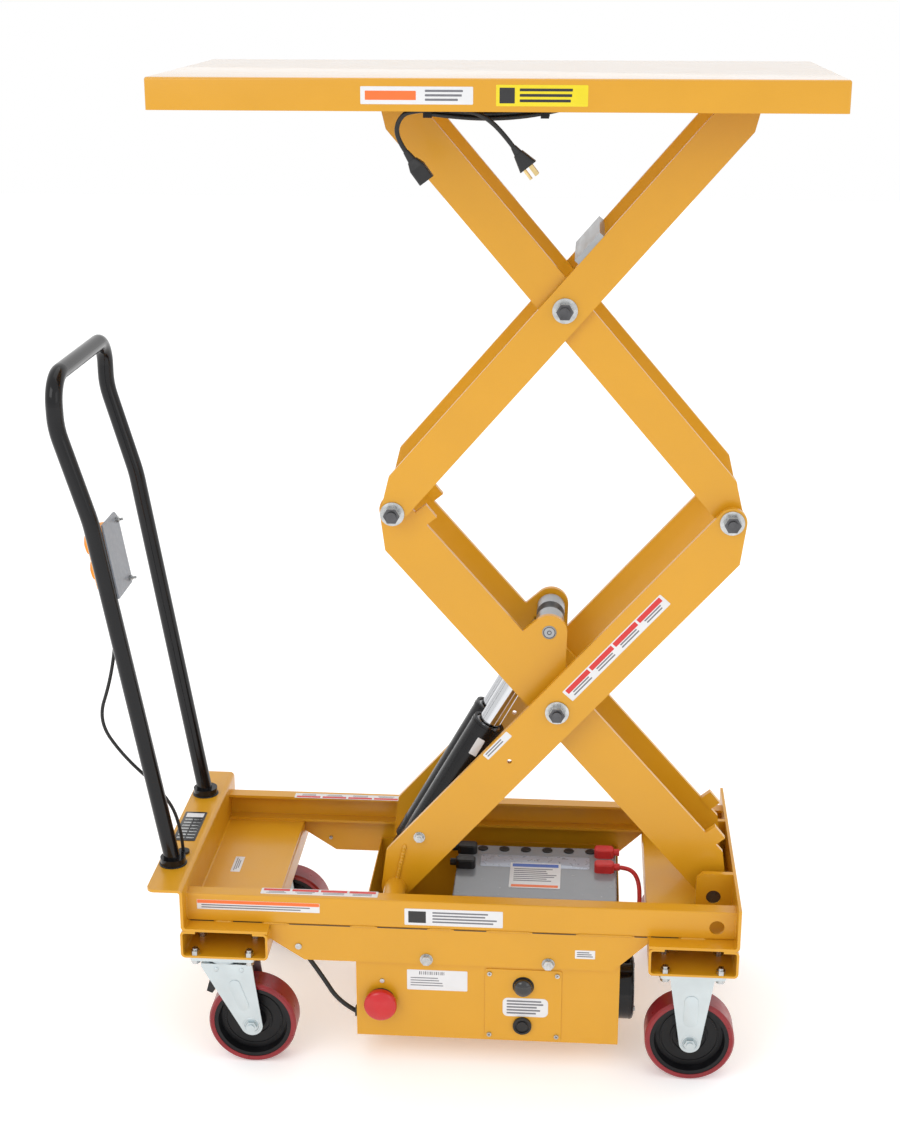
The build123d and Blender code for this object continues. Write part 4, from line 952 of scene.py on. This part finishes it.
# ---------------------------------------------------------------- battery
bm = bmesh.new()
for k in range(6):
    cap_x, cap_y = 76 + 40 * k, 122
    add_lathe(bm, (cap_x, cap_y, 249.8), UP, [(9.5, 0), (9.5, 1.6), (8.4, 2.6)], 28)
    add_plate(bm, (cap_x, cap_y, 252.3), RIGHT, AWAY, (9, 1.6), 0.5, 0.7, 0.1, steps=3)
for side, y in ((-1, -64.0), (1, 138.0)):
    u = UP.cross(Vector((0, side, 0)))
    add_plate(bm, (177, y - side * 0.1, 214), u, UP, (284, 4), 1.2, 1.5, 0.6, steps=3)
    for k in range(9):
        rib_at = (57 + 30 * k, y - side * 2.2, 135)
        add_plate(bm, rib_at, u, UP, (5, 140), 2.2, 2.0, 1.0, steps=3)
piece("battery_caps", bm, "base", ["black_plastic"])
bm = bmesh.new()
add_plate(bm, (174.5, 76, 249.9), RIGHT, AWAY, (200, 46), 0.5, 4, 0.3)
piece("battery_lid_band", bm, "base", ["silver"])

# ---------------------------------------------------------------- cylinders
along = Vector((math.cos(cylinder_lean), 0, math.sin(cylinder_lean)))
left_x, left_z = pivots["base_rolling"]
starts = [Vector((left_x, side * cylinder_y, left_z)) for side in (-1, 1)]
barrel_radius, barrel_end = 28.9, 322
bm = bmesh.new()
for start in starts:
    lip = [(19.15, -0.4), (23.6, -0.4), (23.6, 0.9), (22.8, 1.8), (19.3, 1.8)]
    add_band(bm, start + along * barrel_end, along, lip)
piece("rod_wipers", bm, "cylinder_barrels", ["steel"])
bm = bmesh.new()
for start in starts:
    for reach, width in ((60, 3.0), (316, 5.0)):
        hoop = [(barrel_radius, 0), (29.7, 0.4), (29.7, width), (barrel_radius, width + 0.4)]
        add_band(bm, start + along * reach, along, hoop)
piece("barrel_bands", bm, "cylinder_barrels", ["barrel"])
bm = bmesh.new()
tag_at = starts[0] + along * 285 + NEAR * barrel_radius
add_plate(bm, tag_at, along, NEAR.cross(along), (34, 14), 0.5, 1.5, 0.1)
piece("barrel_tag", bm, "cylinder_barrels", ["white"])

# ---------------------------------------------------------------- pendant
pendant_z = 886.0
out_axis = Vector((-math.cos(handle_lean), 0, -math.sin(handle_lean)))
up_axis = out_axis.cross(NEAR)
tube_x = handle_x - (pendant_z - handle_foot_z) * math.tan(handle_lean)
pendant_at = Vector((tube_x + handle_radius / math.cos(handle_lean), -104.0, pendant_z))
for name, row, sign in (("up_button", 25.0, 1), ("down_button", -20.0, -1)):
    bm = bmesh.new()
    spot = pendant_at + up_axis * row + out_axis * 47.95
    triangle = ((-4.2, -3), (4.2, -3), (0, 4.4))
    corners = [spot + NEAR * a + up_axis * (b * sign) for a, b in triangle]
    if sign < 0:
        corners.reverse()
    rings = [
        [bm.verts.new(corner * MM) for corner in corners],
        [bm.verts.new((corner + out_axis * 0.4) * MM) for corner in corners],
    ]
    close_rings(bm, rings)
    piece(f"{name}_arrow", bm, name, ["white"])
bm = bmesh.new()
spot = pendant_at + out_axis * 12.0
for up in (54, -54):
    edge = spot + up_axis * up
    add_rod(bm, [edge - NEAR * 23, edge + NEAR * 23], 0.8, 8)
for out in (-30, 30):
    edge = spot + NEAR * out
    add_rod(bm, [edge - up_axis * 42, edge + up_axis * 42], 0.8, 8)
piece("pendant_seam", bm, "base", ["pendant"])

# ---------------------------------------------------------------- floor, light
bm = bmesh.new()
bmesh.ops.create_grid(bm, x_segments=1, y_segments=1, size=12.0)
floor_mesh = bpy.data.meshes.new("floor")
bm.to_mesh(floor_mesh)
bm.free()
floor = bpy.data.objects.new("floor", floor_mesh)
scene_collection.objects.link(floor)
floor_mat, _, floor_bsdf = new_material("studio_floor")
floor_bsdf.inputs["Base Color"].default_value = (0.95, 0.95, 0.95, 1)
floor_bsdf.inputs["Emission Color"].default_value = (1, 1, 1, 1)
floor_bsdf.inputs["Emission Strength"].default_value = 0.22
floor_bsdf.inputs["Roughness"].default_value = 0.9
floor_bsdf.inputs["Specular IOR Level"].default_value = 0.1
floor.data.materials.append(floor_mat)

world = bpy.data.worlds.new("studio")
world.use_nodes = True
sky = world.node_tree.nodes["Background"]
sky.inputs["Color"].default_value = (1, 1, 1, 1)
sky.inputs["Strength"].default_value = 1.0
bpy.context.scene.world = world
bpy.context.scene.view_settings.view_transform = "Standard"


def area_light(name, location, target, size, power):
    """A rectangular light turned to a target."""
    light = bpy.data.lights.new(name, "AREA")
    light.shape = "RECTANGLE"
    light.size, light.size_y = size
    light.energy = power
    obj = bpy.data.objects.new(name, light)
    obj.location = location
    direction = Vector(target) - Vector(location)
    obj.rotation_euler = direction.to_track_quat("-Z", "Y").to_euler()
    scene_collection.objects.link(obj)


area_light("key", (-2.4, -3.6, 3.4), (0, 0, 0.8), (2.6, 2.2), 42)
area_light("fill", (3.2, -3.0, 2.2), (0, 0, 0.8), (2.4, 2.4), 14)
area_light("top", (0.2, 0.6, 4.2), (0, 0, 0.8), (3.0, 3.0), 20)
